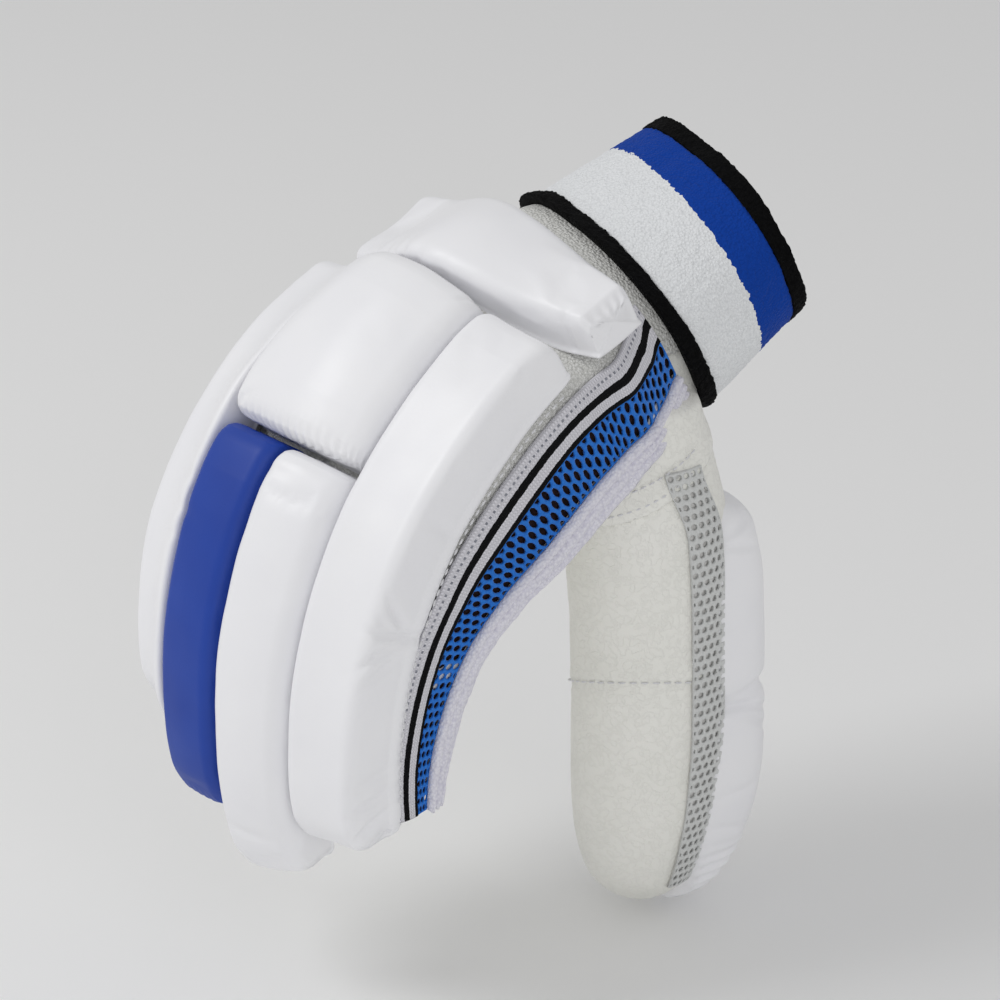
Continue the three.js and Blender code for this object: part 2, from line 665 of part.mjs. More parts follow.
// How far a pad's body reaches into the skin before the skin is cut out of it
const sunk = FABRIC_WALL * 2;

// A roll along one finger, from edge to edge and from its top end to its tip. flapLeft and flapRight are
// null, or say how far down the side a flap has room at a share of the hand's length.
function rollBody(left, right, from, to, thickness, flapLeft, flapRight) {
  const length = (to - from) * HAND_LENGTH;
  const stations = [];
  ROLL_END.forEach(({ along, up, inset }) => stations.push({ at: along * thickness, up, inset }));
  const tips = ROLL_TIP.map(({ along, up, inset }) => ({ at: length - along * thickness, up, inset }));
  tips.reverse();
  const evenStart = stations[stations.length - 1].at;
  const free = tips[0].at - evenStart;
  const between = Math.max(2, Math.round(free / ROLL_RING_SPACING));
  spread(0, 1, between).slice(1, -1).forEach((t) => {
    stations.push({ at: evenStart + free * t, up: 1, inset: 0 });
  });
  stations.push(...tips);
  const rings = stations.map(({ at, up, inset }) => {
    const share = from + at / HAND_LENGTH;
    const width = right - left;
    const low = left + width * inset;
    const high = right - width * inset;
    const top = (row) => handPoint(share, mix(low, high, row.across), -row.up * up * thickness);
    const ring = ROLL_PROFILE.map(top);
    const grown = mix(FLAP_START, 1, Math.min(1, at / (length * FLAP_GROWN)));
    const flapTo = (flap) => Math.min(SIDE_FLAP * grown, flap(share) - STRIP_WALL);
    ring.push(handPoint(share, high, flapRight ? flapTo(flapRight) : sunk));
    if (flapRight) {
      ring.push(handPoint(share, high - FLAP_WALL, flapTo(flapRight)));
    }
    ring.push(handPoint(share, mix(low, high, 0.75), sunk));
    ring.push(handPoint(share, mix(low, high, 0.25), sunk));
    if (flapLeft) {
      ring.push(handPoint(share, low + FLAP_WALL, flapTo(flapLeft)));
    }
    ring.push(handPoint(share, low, flapLeft ? flapTo(flapLeft) : sunk));
    return ring;
  });
  return toSolid(loft(rings));
}

// The transverse roll at the wrist end of the back
function wristRollBody() {
  const rings = WRIST_ROLL_SECTIONS.map((row) => {
    const x = row.across * HAND_HALF_WIDTH;
    const thick = WRIST_ROLL_THICKNESS * row.up;
    const at = (share) => mix(row.from, row.to, share);
    const ring = ROLL_PROFILE.map((p) => handPoint(at(p.across), x, -p.up * thick));
    [1, 0.5, 0].forEach((share) => ring.push(handPoint(at(share), x, sunk)));
    return ring;
  });
  return toSolid(loft(rings));
}

// The pad on the thumb's back, before the sleeve is cut out of it
function thumbPadBody() {
  const start = (THUMB_LENGTH - THUMB_PAD_LENGTH) / THUMB_LENGTH;
  const rings = THUMB_PAD_SECTIONS.map((row) => {
    const share = mix(start, PAD_TIP, row.share);
    const reach = THUMB_PAD_REACH * row.reach;
    const half = THUMB_PAD_HALF_WIDTH * row.width;
    const foot = Math.min(THUMB_HALF_DEPTH * PAD_SHAPE.foot, reach * PAD_SHAPE.footLimit);
    const ring = spread(-90, 90, PAD_SIDES).map((angle) => {
      const up = Math.cos(rad(angle)) ** PAD_SHAPE.crown;
      const side = Math.sign(angle) * Math.abs(Math.sin(rad(angle))) ** PAD_SHAPE.side;
      return thumbPoint(share, mix(foot, reach, up), half * side);
    });
    const underside = foot * PAD_SHAPE.underside;
    ring.push(thumbPoint(share, underside, half * PAD_SHAPE.undersideHalf));
    ring.push(thumbPoint(share, underside, -half * PAD_SHAPE.undersideHalf));
    return ring;
  });
  return toSolid(loft(rings));
}

// The strip of net along the thumb's sleeve, or a body a clearance larger all round
function thumbNet(grow) {
  const turn = THREE.MathUtils.radToDeg(grow / THUMB_HALF_DEPTH);
  const step = grow / THUMB_LENGTH;
  const surface = (out) => (along, across) => {
    const share = mix(THUMB_NET_START - step, THUMB_NET_END + step, along);
    return thumbSkinPoint(share, rad(mix(THUMB_NET_BACK - turn, THUMB_NET_FRONT + turn, across)), out);
  };
  const seat = CLEARANCE * 2;
  return sheet(surface(seat - grow), surface(seat + THUMB_NET_WALL + grow), THUMB_NET_STEPS);
}

// A full body of the cuff between two distances from the seam; beyond the seam it narrows to the opening
function cuffBody(from, to, grow) {
  const ringAt = (distance) => {
    const share = Math.max(0, -distance) / HAND_LENGTH;
    const half = handHalfWidth(share);
    const ring = sectionRing(share, -half, half, grow, 1, HAND_CORNER, HAND_BETWEEN);
    if (distance <= 0) {
      return ring;
    }
    const taper = mix(1, CUFF_TAPER, distance / openingAt);
    const middle = seamMiddle.clone().addScaledVector(cuffAxis, distance);
    return ring.map((p) => p.sub(seamMiddle).multiplyScalar(taper).add(middle));
  };
  return toSolid(loft([ringAt(from), ringAt(to)]));
}

// A ring of the cuff whose inside is clear of the wrist by a clearance
function cuffRing(from, to, thickness) {
  const inside = cuffBody(from - CLEARANCE, to + CLEARANCE, CLEARANCE);
  return cuffBody(from, to, CLEARANCE + thickness).subtract(inside);
}

const glove = new THREE.Group();
const inner = new THREE.Group();
inner.position.copy(opening).negate();
glove.add(inner);

function addPiece(name, geometry, color, roughness) {
  const material = new THREE.MeshStandardMaterial({ color, roughness, metalness: 0 });
  const mesh = new THREE.Mesh(geometry, material);
  mesh.name = name;
  inner.add(mesh);
}

// The hand's shell, parted into palm and back, and a stall on it for each finger
const clearSkin = gloveBody(CLEARANCE);
const hollow = gloveBody(-FABRIC_WALL);
const thumbSkin = thumbBody(0, 0);
const clearThumb = thumbBody(CLEARANCE, 0);
const thumbHollow = thumbBody(-FABRIC_WALL, THUMB_HOLLOW_START);
const handShell = handBody(0).subtract(hollow);
addPiece('back_panel', toGeometry(handShell.intersect(backZone(-CLEARANCE))), FABRIC_GREY, 0.8);
addPiece('palm', toGeometry(handShell.subtract(backZone(0)).subtract(thumbHollow)), LEATHER, 0.6);
const beyondWeb = fingerZone();
FINGERS.forEach((finger) => {
  const stall = fingerBody(finger, 0).subtract(hollow).intersect(beyondWeb);
  addPiece(`${finger.name}_stall`, toGeometry(stall), LEATHER, 0.6);
});
addPiece('thumb_sleeve', toGeometry(thumbSkin.subtract(thumbHollow).subtract(clearSkin)), LEATHER, 0.6);

// Pads on the back, each cut by the skin so that it sits a clearance above it
const rollGap = CLEARANCE / 2;
const edgeOut = HAND_HALF_WIDTH + STRIP_WALL;
const seatOnSkin = (body) => toGeometry(body.subtract(clearSkin));
addPiece('wrist_roll', seatOnSkin(wristRollBody()), WHITE, 0.4);
const padStart = readTable(WRIST_ROLL_SECTIONS, 'across', 0, 'to') + 2 * stepOn;
const rollStart = KNUCKLE_LINE + stepOn;
const tapeTop = (share) => readTable(SIDE_BANDS, 'share', share, 'tape') * handDepth(share);
const gussetTop = (share) => readTable(GUSSET_BANDS, 'share', share, 'from') * handDepth(share);
const rolls = [
  { name: 'index_roll', left: fingerPitch + rollGap, right: edgeOut, from: padStart, reach: INDEX_REACH },
  { name: 'middle_roll', left: rollGap, right: fingerPitch - rollGap, from: rollStart, reach: MIDDLE_REACH },
  { name: 'ring_roll', left: rollGap - fingerPitch, right: -rollGap, from: rollStart, reach: RING_REACH },
  { name: 'little_roll', left: -edgeOut, right: -fingerPitch - rollGap, from: padStart, reach: LITTLE_REACH },
];
rolls.forEach(({ name, left, right, from, reach }) => {
  const color = name === 'ring_roll' ? ROYAL_BLUE : WHITE;
  const flapLeft = name === 'little_roll' ? gussetTop : null;
  const flapRight = name === 'index_roll' ? tapeTop : null;
  const body = rollBody(left, right, from, reach + TIP_CAP, ROLL_THICKNESS, flapLeft, flapRight);
  addPiece(name, seatOnSkin(body), color, 0.4);
});
const centreHalf = fingerPitch - rollGap;
const centreBody = rollBody(
  -centreHalf, centreHalf, padStart, KNUCKLE_LINE - stepOn, CENTRE_PAD_THICKNESS, null, null);
addPiece('centre_pad', seatOnSkin(centreBody), WHITE, 0.4);

// Bands along the thumb side and the plain gusset along the other side
const bandIn = (from, to) => bandSurface(SIDE_BANDS, from, to, STRIP_SEAT, 1);
const bandOut = (from, to) => bandSurface(SIDE_BANDS, from, to, STRIP_SEAT + STRIP_WALL, 1);
const seatStrip = (geometry) => toGeometry(toSolid(geometry).subtract(clearSkin).subtract(clearThumb));
const tape = sheet(bandIn('tape', 'net'), bandOut('tape', 'net'), SIDE_STEPS);
const netIn = bandIn('net', 'terry');
const net = netSheet(netIn, bandOut('net', 'terry'), NET_HOLES_ALONG, NET_HOLES_ACROSS, NET_BAR);
addPiece('side_tape', seatStrip(tape), BLACK, 0.9);
addPiece('side_mesh', seatStrip(net), NET_BLUE, 0.7);
const terry = sheet(bandIn('terry', 'end'), bandOut('terry', 'end'), SIDE_STEPS);
addPiece('side_terry', seatStrip(terry), WHITE, 0.95);
const gussetSurface = (out) => bandSurface(GUSSET_BANDS, 'from', 'to', out, -1);
const gusset = sheet(gussetSurface(STRIP_SEAT), gussetSurface(STRIP_SEAT + STRIP_WALL), GUSSET_STEPS);
addPiece('outer_gusset', seatStrip(gusset), WHITE, 0.9);

// The thumb's net strip and pad
addPiece('thumb_mesh', thumbNet(0), WHITE, 0.8);
const padOverSkin = thumbPadBody().subtract(clearThumb).subtract(clearSkin);
addPiece('thumb_pad', toGeometry(padOverSkin.subtract(toSolid(thumbNet(CLEARANCE)))), WHITE, 0.4);

// The cuff with its two bands
const bandEnd = CUFF_BAND - CUFF_OVERLAP;
const bandWall = CUFF_WALL + CUFF_BAND_PROUD;
const lowerBody = cuffBody(-CUFF_OVERLAP, bandEnd, CLEARANCE + bandWall);
const lowerBand = lowerBody.subtract(clearSkin).subtract(clearThumb);
const cuff = cuffRing(bandEnd + CLEARANCE, openingAt - CUFF_BAND - CLEARANCE, CUFF_WALL);
const upperBand = cuffRing(openingAt - CUFF_BAND, openingAt, bandWall);
addPiece('wristband_lower_edge', toGeometry(lowerBand), BLACK, 0.9);
addPiece('wristband', toGeometry(cuff), WHITE, 0.95);
addPiece('wristband_upper_edge', toGeometry(upperBand), BLACK, 0.9);

export default glove;
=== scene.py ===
import math

import bmesh
import bpy
import numpy as np
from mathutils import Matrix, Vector
from mathutils.bvhtree import BVHTree
from mathutils.kdtree import KDTree


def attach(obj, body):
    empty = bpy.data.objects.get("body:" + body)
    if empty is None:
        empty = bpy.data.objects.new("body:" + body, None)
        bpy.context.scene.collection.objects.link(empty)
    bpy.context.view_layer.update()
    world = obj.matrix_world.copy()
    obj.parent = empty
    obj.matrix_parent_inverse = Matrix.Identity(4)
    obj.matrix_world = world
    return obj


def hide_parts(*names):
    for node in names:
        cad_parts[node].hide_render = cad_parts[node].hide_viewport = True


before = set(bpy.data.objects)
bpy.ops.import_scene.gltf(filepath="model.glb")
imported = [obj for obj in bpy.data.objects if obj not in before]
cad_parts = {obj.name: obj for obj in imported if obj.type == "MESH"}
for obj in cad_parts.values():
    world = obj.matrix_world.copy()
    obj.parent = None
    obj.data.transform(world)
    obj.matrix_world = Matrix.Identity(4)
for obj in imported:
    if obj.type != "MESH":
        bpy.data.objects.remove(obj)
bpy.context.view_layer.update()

# the glove's own sizes, in millimetres
HAND_LENGTH = 226
HAND_HALF_WIDTH = 49.5
WRIST_HALF_WIDTH = 40.5
WRIST_DEPTH = 57
KNUCKLE_DEPTH = 44
FINGERTIP_DEPTH = 18
FABRIC_WALL = 1.8
CLEARANCE = 0.3
FINGER_CORNER = 8
KNUCKLE_LINE = 0.487
TIP_CAP = 0.022
ROLL_THICKNESS = 16
CENTRE_PAD_THICKNESS = 16.5
WRIST_ROLL_THICKNESS = 14
DROP_WIDTH = 0.9
STRIP_SEAT = 0.7
CUFF_LENGTH = 46
CUFF_WALL = 2.6
CUFF_TAPER = 0.85
CUFF_OVERLAP = 5
CUFF_BAND_PROUD = 0.9
THUMB_LENGTH = 150
THUMB_HALF_WIDTH = 19.5
THUMB_HALF_DEPTH = 22.5
THUMB_PAD_REACH = 33.5
THUMB_PAD_HALF_WIDTH = 17.4
THUMB_PAD_LENGTH = 120
THUMB_TURN = 76
WRIST_PINCH = 0.12
WRIST_PINCH_END = 0.12
THUMB_SEAM_HEIGHT = 137.5
THUMB_SEAM_SLOPE = 0.42
WRIST_BACK = (41, 196)
THUMB_ROOT = (38, 32, 157)
FINGER_PITCH = HAND_HALF_WIDTH / 2
REACH = {"index": 0.925, "middle": 0.985, "ring": 0.915, "little": 0.85}
SLOT = {"index": 1.5, "middle": 0.5, "ring": -0.5, "little": -1.5}

HAND_COLUMNS = ("share", "travel", "lean", "yaw", "depth", "width", "round",
                "dropIn", "dropOut", "flat", "narrow")
HAND_SECTIONS = np.array([
    [0.0, 0, 28, 12, 0.0, 0.0, 0.9, 0.0, 0.0, 0.0, 1.0],
    [0.03, 0, 28, 12, 0.0, 0.0, 0.9, 0.0, 0.0, 0.0, 1.0],
    [0.09, 3, 24, 8, 0.15, 0.5, 0.6, 0.14, 0.24, 0.0, 1.0],
    [0.17, 13, 24, 3, 0.4, 1.0, 0.3, 0.26, 0.4, 0.0, 1.0],
    [0.27, 31, 33, 0, 0.7, 1.0, 0.08, 0.28, 0.4, 0.15, 1.0],
    [0.37, 42, 43, 0, 0.88, 1.0, 0.0, 0.28, 0.33, 0.3, 1.0],
    [0.47, 52, 52, 0, 1.05, 1.0, 0.0, 0.26, 0.29, 0.42, 1.0],
    [0.57, 63, 63, 0, 1.32, 1.0, 0.0, 0.24, 0.26, 0.42, 1.0],
    [0.67, 75, 75, 0, 1.58, 1.0, 0.0, 0.24, 0.23, 0.42, 0.98],
    [0.77, 86, 86, 0, 1.76, 1.0, 0.0, 0.24, 0.23, 0.42, 0.95],
    [0.87, 96, 96, 0, 1.9, 1.0, 0.0, 0.24, 0.23, 0.42, 0.91],
    [1.0, 112, 112, 0, 2.0, 1.0, 0.0, 0.24, 0.23, 0.42, 0.86],
    [1.1, 122, 122, 0, 2.0, 1.0, 0.0, 0.24, 0.23, 0.42, 0.84],
])
SIDE_BANDS = {
    "share": [0.045, 0.15, 0.27, 0.4, 0.52, 0.66, 0.8, 0.92],
    "tape": [0.17, 0.14, 0.13, 0.13, 0.13, 0.13, 0.13, 0.15],
    "net": [0.34, 0.34, 0.37, 0.4, 0.41, 0.4, 0.4, 0.42],
    "terry": [0.54, 0.58, 0.68, 0.72, 0.72, 0.68, 0.62, 0.58],
    "end": [0.66, 0.72, 0.86, 0.9, 0.91, 0.92, 0.9, 0.76],
}
GUSSET_BANDS = {
    "share": [0.045, 0.2, 0.4, 0.6, 0.8],
    "from": [0.12, 0.16, 0.24, 0.26, 0.3],
    "to": [0.5, 0.7, 0.88, 0.9, 0.86],
}
ROLL_END = {"along": [0, 0.12, 0.35, 0.8], "up": [0.62, 0.84, 0.96, 1.0], "inset": [0.06, 0.025, 0.005, 0]}
ROLL_TIP = {"along": [0, 0.1, 0.32, 0.75, 1.2], "up": [0.3, 0.58, 0.83, 0.97, 1.0],
            "inset": [0.24, 0.13, 0.045, 0, 0]}
WRIST_ROLL = {
    "across": [-1.02, -0.97, -0.75, -0.4, 0.0, 0.4, 0.75, 0.98, 1.05],
    "from": [0.11, 0.1, 0.09, 0.082, 0.078, 0.078, 0.08, 0.085, 0.09],
    "to": [0.2, 0.215, 0.228, 0.234, 0.235, 0.228, 0.212, 0.196, 0.19],
    "up": [0.5, 0.7, 0.82, 0.86, 0.94, 1.0, 1.0, 0.95, 0.7],
}
THUMB_SECTIONS = {
    "share": [0.0, 0.12, 0.24, 0.42, 0.62, 0.76, 0.86, 0.93, 0.975, 1.0],
    "size": [0.9, 0.98, 1.04, 1.0, 1.0, 0.95, 0.85, 0.7, 0.48, 0.22],
    "back": [-0.2, -0.14, -0.06, 0.0, 0.02, 0.0, -0.03, -0.04, -0.02, 0.0],
    "out": [-0.2, -0.1, 0.02, 0.08, 0.08, 0.06, 0.04, 0.02, 0.0, 0.0],
}
THUMB_PAD = {
    "share": [0.0, 0.02, 0.06, 0.2, 0.65, 0.78, 0.88, 0.95, 0.985, 1.0],
    "reach": [0.72, 0.84, 0.92, 0.98, 0.99, 0.93, 0.82, 0.66, 0.5, 0.38],
    "width": [0.72, 0.86, 0.95, 1.0, 1.0, 0.96, 0.86, 0.7, 0.5, 0.3],
}


# numbers and noise
def smooth(xs, ys, at):
    """A table's value between its rows, without overshoot."""
    xs = np.asarray(xs, float)
    ys = np.asarray(ys, float)
    at = np.clip(np.asarray(at, float), xs[0], xs[-1])
    step = np.diff(xs)
    slope = np.diff(ys) / step
    tangent = np.zeros(len(xs))
    tangent[0] = slope[0]
    tangent[-1] = slope[-1]
    before, after = slope[:-1], slope[1:]
    same = before * after > 0
    inner = np.zeros(len(before))
    inner[same] = 2 * before[same] * after[same] / (before[same] + after[same])
    tangent[1:-1] = inner
    i = np.clip(np.searchsorted(xs, at, side="right") - 1, 0, len(step) - 1)
    t = (at - xs[i]) / step[i]
    h00 = (1 + 2 * t) * (1 - t) ** 2
    h01 = t * t * (3 - 2 * t)
    h10 = t * (1 - t) ** 2
    h11 = t * t * (t - 1)
    return h00 * ys[i] + h01 * ys[i + 1] + (h10 * tangent[i] + h11 * tangent[i + 1]) * step[i]


def as_floats(*values):
    """The values as float arrays of one shape."""
    return np.broadcast_arrays(*[np.asarray(v, float) for v in values])


def ease(low, high, x):
    """0 below low, 1 above high, smooth between."""
    t = np.clip((np.asarray(x, float) - low) / (high - low), 0, 1)
    return t * t * (3 - 2 * t)


def bump(x, centre, width):
    """1 at the centre, falling off smoothly over width."""
    return np.exp(-((np.asarray(x, float) - centre) / width) ** 2)


def noise3(points, size, seed=0):
    """Smooth noise from -1 to 1 with lumps of that size, at points in millimetres."""
    q = np.asarray(points, float) / size
    cell = np.floor(q).astype(np.int64)
    f = q - cell
    f = f * f * (3 - 2 * f)
    total = np.zeros(q.shape[:-1])
    for dx in (0, 1):
        for dy in (0, 1):
            for dz in (0, 1):
                h = (cell[..., 0] + dx) * 374761393 + (cell[..., 1] + dy) * 668265263
                h = (h + (cell[..., 2] + dz) * 2147483647 + seed * 144665) & 0xFFFFFFFF
                h = ((h ^ (h >> 13)) * 1274126177) & 0xFFFFFFFF
                h = (h ^ (h >> 16)) & 0xFFFF
                weight = (
                    (f[..., 0] if dx else 1 - f[..., 0])
                    * (f[..., 1] if dy else 1 - f[..., 1])
                    * (f[..., 2] if dz else 1 - f[..., 2])
                )
                total += weight * (h / 32767.5 - 1)
    return total


def lumps(points, *layers):
    """Noise of several layers, each with its depth and lump size in mm and its seed."""
    return sum(depth * noise3(points, size, seed) for depth, size, seed in layers)


# the hand's own coordinates
def hand(share, column):
    """A column of the hand's table at a share of its length."""
    return smooth(HAND_SECTIONS[:, 0], HAND_SECTIONS[:, HAND_COLUMNS.index(column)], share)


PATH_END = 1.1
PATH_STEPS = 220
path_mid = (np.arange(PATH_STEPS) + 0.5) / PATH_STEPS * PATH_END
path_angle = np.radians(hand(path_mid, "travel"))
path_step = HAND_LENGTH * PATH_END / PATH_STEPS
path_share = np.linspace(0, PATH_END, PATH_STEPS + 1)
path_y = WRIST_BACK[0] - np.concatenate([[0], np.cumsum(np.cos(path_angle) * path_step)])
path_z = WRIST_BACK[1] - np.concatenate([[0], np.cumsum(np.sin(path_angle) * path_step)])


def hand_depth(share):
    """Thickness of the hand from its back to its palm."""
    grade = hand(share, "depth")
    near = WRIST_DEPTH + (KNUCKLE_DEPTH - WRIST_DEPTH) * grade
    far = KNUCKLE_DEPTH + (FINGERTIP_DEPTH - KNUCKLE_DEPTH) * (grade - 1)
    return np.where(grade < 1, near, far)


def hand_half_width(share):
    return WRIST_HALF_WIDTH + (HAND_HALF_WIDTH - WRIST_HALF_WIDTH) * hand(share, "width")


def side_drop(share, x):
    """How far the back's surface curves down at x across the hand."""
    level = np.where(x > 0, 0, hand(share, "flat"))
    across = np.clip((np.abs(x) / HAND_HALF_WIDTH - level) / (DROP_WIDTH - level), 0, 1)
    most = np.where(x > 0, hand(share, "dropIn"), hand(share, "dropOut")) * KNUCKLE_DEPTH
    return most * (0.5 - 0.5 * np.cos(math.pi * across))


def hand_point(share, x, down):
    """A point of the glove, in millimetres: x across the hand, down from its back towards its palm."""
    share, x, down = as_floats(share, x, down)
    y0 = np.interp(share, path_share, path_y)
    z0 = np.interp(share, path_share, path_z)
    lean = np.radians(hand(share, "lean"))
    drop = down + side_drop(share, x)
    x = np.where(x < 0, x * (1 - WRIST_PINCH * (1 - ease(0, WRIST_PINCH_END, share))), x)
    turn = -x * np.tan(np.radians(hand(share, "yaw")))
    y = y0 + np.sin(lean) * drop + np.cos(lean) * turn
    z = z0 - np.cos(lean) * drop + np.sin(lean) * turn
    return np.stack([x * hand(share, "narrow"), y, z], -1)


CUFF_LEAN = math.radians(28)
CUFF_YAW = math.radians(12)
cuff_axis = np.array([
    math.sin(CUFF_YAW), math.cos(CUFF_YAW) * math.cos(CUFF_LEAN), math.cos(CUFF_YAW) * math.sin(CUFF_LEAN)])
seam_middle = hand_point(0, 0, WRIST_DEPTH / 2)
OPENING_AT = CUFF_LENGTH - CUFF_OVERLAP
opening = seam_middle + cuff_axis * OPENING_AT


def row(points):
    """Millimetres of the hand's coordinates to metres of the row's frame."""
    return (np.asarray(points, float) - opening) * 0.001


def unrow(points):
    return np.asarray(points, float) * 1000 + opening


THUMB_BACK = np.array([math.cos(math.radians(THUMB_TURN)), math.sin(math.radians(THUMB_TURN)), 0])
THUMB_OUT = np.array([math.sin(math.radians(THUMB_TURN)), -math.cos(math.radians(THUMB_TURN)), 0])


def thumb(share, column):
    return smooth(THUMB_SECTIONS["share"], THUMB_SECTIONS[column], share)


def thumb_point(share, back, out):
    share, back, out = as_floats(share, back, out)
    base = np.stack([np.full(share.shape, float(THUMB_ROOT[0])), np.full(share.shape, float(THUMB_ROOT[1])),
                     THUMB_ROOT[2] - share * THUMB_LENGTH], -1)
    b = back + thumb(share, "back") * THUMB_HALF_DEPTH
    o = out + thumb(share, "out") * THUMB_HALF_DEPTH
    return base + b[..., None] * THUMB_BACK + o[..., None] * THUMB_OUT


def thumb_skin(share, angle, grow=0.0):
    """A point of the thumb's sleeve: angle in radians from its back towards the thumb side."""
    size = thumb(share, "size")
    back = (THUMB_HALF_DEPTH * size + grow) * np.cos(angle)
    return thumb_point(share, back, (THUMB_HALF_WIDTH * size + grow) * np.sin(angle))


def section(share, left, right, grow, scale, corner, between):
    """One closed ring of a hand or finger section."""
    depth = float(hand_depth(share))
    rounding = float(hand(share, "round"))
    half = (right - left) / 2
    corner_x = min(FINGER_CORNER, half * 0.85)
    corner_x += (half * 0.97 - corner_x) * rounding
    corner_d = min(FINGER_CORNER, depth * 0.42)
    corner_d += (depth * 0.485 - corner_d) * rounding
    flat = []

    def quarter(sx, sd, start):
        for k in range(corner + 1):
            a = start + k / corner * math.pi / 2
            flat.append((sx * (half - corner_x) + math.cos(a) * (corner_x + grow),
                         sd * (depth / 2 - corner_d) + math.sin(a) * (corner_d + grow)))

    def line(x0, x1, down):
        for k in range(1, between + 1):
            flat.append((x0 + (x1 - x0) * k / (between + 1), down))

    edge = half - corner_x
    quarter(1, 1, 0)
    line(edge, -edge, depth / 2 + grow)
    quarter(-1, 1, math.pi / 2)
    quarter(-1, -1, math.pi)
    line(-edge, edge, -depth / 2 - grow)
    quarter(1, -1, math.pi * 1.5)
    flat = np.array(flat)
    return hand_point(share, (left + right) / 2 + flat[:, 0] * scale, depth / 2 + flat[:, 1] * scale)


# mesh making
def make(name, verts, faces, uvs=None):
    """A mesh object from points in the hand's millimetres; uvs are one pair for each vertex."""
    mesh = bpy.data.meshes.new(name)
    mesh.from_pydata(row(verts).tolist(), [], [list(map(int, f)) for f in faces])
    mesh.validate()
    if uvs is not None:
        layer = mesh.uv_layers.new(name="UVMap")
        index = np.empty(len(mesh.loops), np.int32)
        mesh.loops.foreach_get("vertex_index", index)
        layer.data.foreach_set("uv", np.asarray(uvs, np.float32)[index].ravel())
    mesh.shade_smooth()
    mesh.update()
    obj = bpy.data.objects.new(name, mesh)
    bpy.context.scene.collection.objects.link(obj)
    return obj


def grid_faces(rows, cols, closed=False, start=0):
    """Quads between a grid's rows; closed joins each row's end to its start."""
    faces = []
    wide = cols if closed else cols - 1
    for i in range(rows - 1):
        for j in range(wide):
            a = start + i * cols + j
            b = start + i * cols + (j + 1) % cols
            faces.append((a, b, b + cols, a + cols))
    return faces


def outward(verts, faces):
    """The same faces, turned out if the closed body's volume is negative."""
    v = np.asarray(verts)
    total = 0.0
    for f in faces:
        for k in range(1, len(f) - 1):
            total += np.dot(v[f[0]], np.cross(v[f[k]], v[f[k + 1]]))
    return faces if total > 0 else [tuple(reversed(f)) for f in faces]


def loft(name, rings):
    """A closed body through rings of equally many points."""
    rings = np.asarray(rings, float)
    n, m = rings.shape[:2]
    verts = list(rings.reshape(-1, 3))
    faces = grid_faces(n, m, closed=True)
    for ring, flip in ((0, True), (n - 1, False)):
        middle = len(verts)
        verts.append(rings[ring].mean(0))
        for i in range(m):
            a, b = ring * m + i, ring * m + (i + 1) % m
            faces.append((middle, b, a) if flip else (middle, a, b))
    return make(name, np.array(verts), outward(verts, faces))


def shell(name, outer, inner, closed=False, uvs=None):
    """A closed sheet between two grids of points."""
    rows, cols = outer.shape[:2]
    count = rows * cols
    verts = np.concatenate([outer.reshape(-1, 3), inner.reshape(-1, 3)])
    top = grid_faces(rows, cols, closed)
    low = [tuple(v + count for v in reversed(f)) for f in top]
    faces = top + low
    wide = cols if closed else cols - 1
    for j in range(wide):
        k = (j + 1) % cols
        faces.append((j, j + count, k + count, k))
        e = (rows - 1) * cols
        faces.append((e + k, e + k + count, e + j + count, e + j))
    if not closed:
        for i in range(rows - 1):
            a, b = i * cols, (i + 1) * cols
            faces.append((b, b + count, a + count, a))
            a, b = a + cols - 1, b + cols - 1
            faces.append((a, a + count, b + count, b))
    flat_uv = None
    if uvs is not None:
        flat_uv = np.concatenate([uvs.reshape(-1, 2)] * 2)
    return make(name, verts, outward(verts, faces), flat_uv)


def points_of(obj):
    co = np.empty(len(obj.data.vertices) * 3)
    obj.data.vertices.foreach_get("co", co)
    return co.reshape(-1, 3)


def normals_of(obj):
    obj.data.update()
    n = np.empty(len(obj.data.vertices) * 3, np.float32)
    obj.data.vertex_normals.foreach_get("vector", n)
    return n.reshape(-1, 3).astype(float)


def set_points(obj, co):
    obj.data.vertices.foreach_set("co", np.asarray(co, np.float32).ravel())
    obj.data.update()


def push(obj, amount):
    """Moves each vertex along its normal by its own amount in millimetres."""
    set_points(obj, points_of(obj) + normals_of(obj) * (np.asarray(amount)[:, None] * 0.001))


def applied(obj, kind, **settings):
    """Adds one modifier, applies it and returns obj."""
    mod = obj.modifiers.new(kind.lower(), kind)
    for key, value in settings.items():
        setattr(mod, key, value)
    depsgraph = bpy.context.evaluated_depsgraph_get()
    mesh = bpy.data.meshes.new_from_object(obj.evaluated_get(depsgraph))
    obj.modifiers.clear()
    old = obj.data
    obj.data = mesh
    bpy.data.meshes.remove(old)
    obj.data.shade_smooth()
    return obj


def join(name, objects):
    """One object from several, without operators."""
    verts, faces, offset = [], [], 0
    for o in objects:
        co = points_of(o)
        verts.append(unrow(co))
        faces += [tuple(v + offset for v in p.vertices) for p in o.data.polygons]
        offset += len(co)
        bpy.data.objects.remove(o)
    return make(name, np.concatenate(verts), faces)


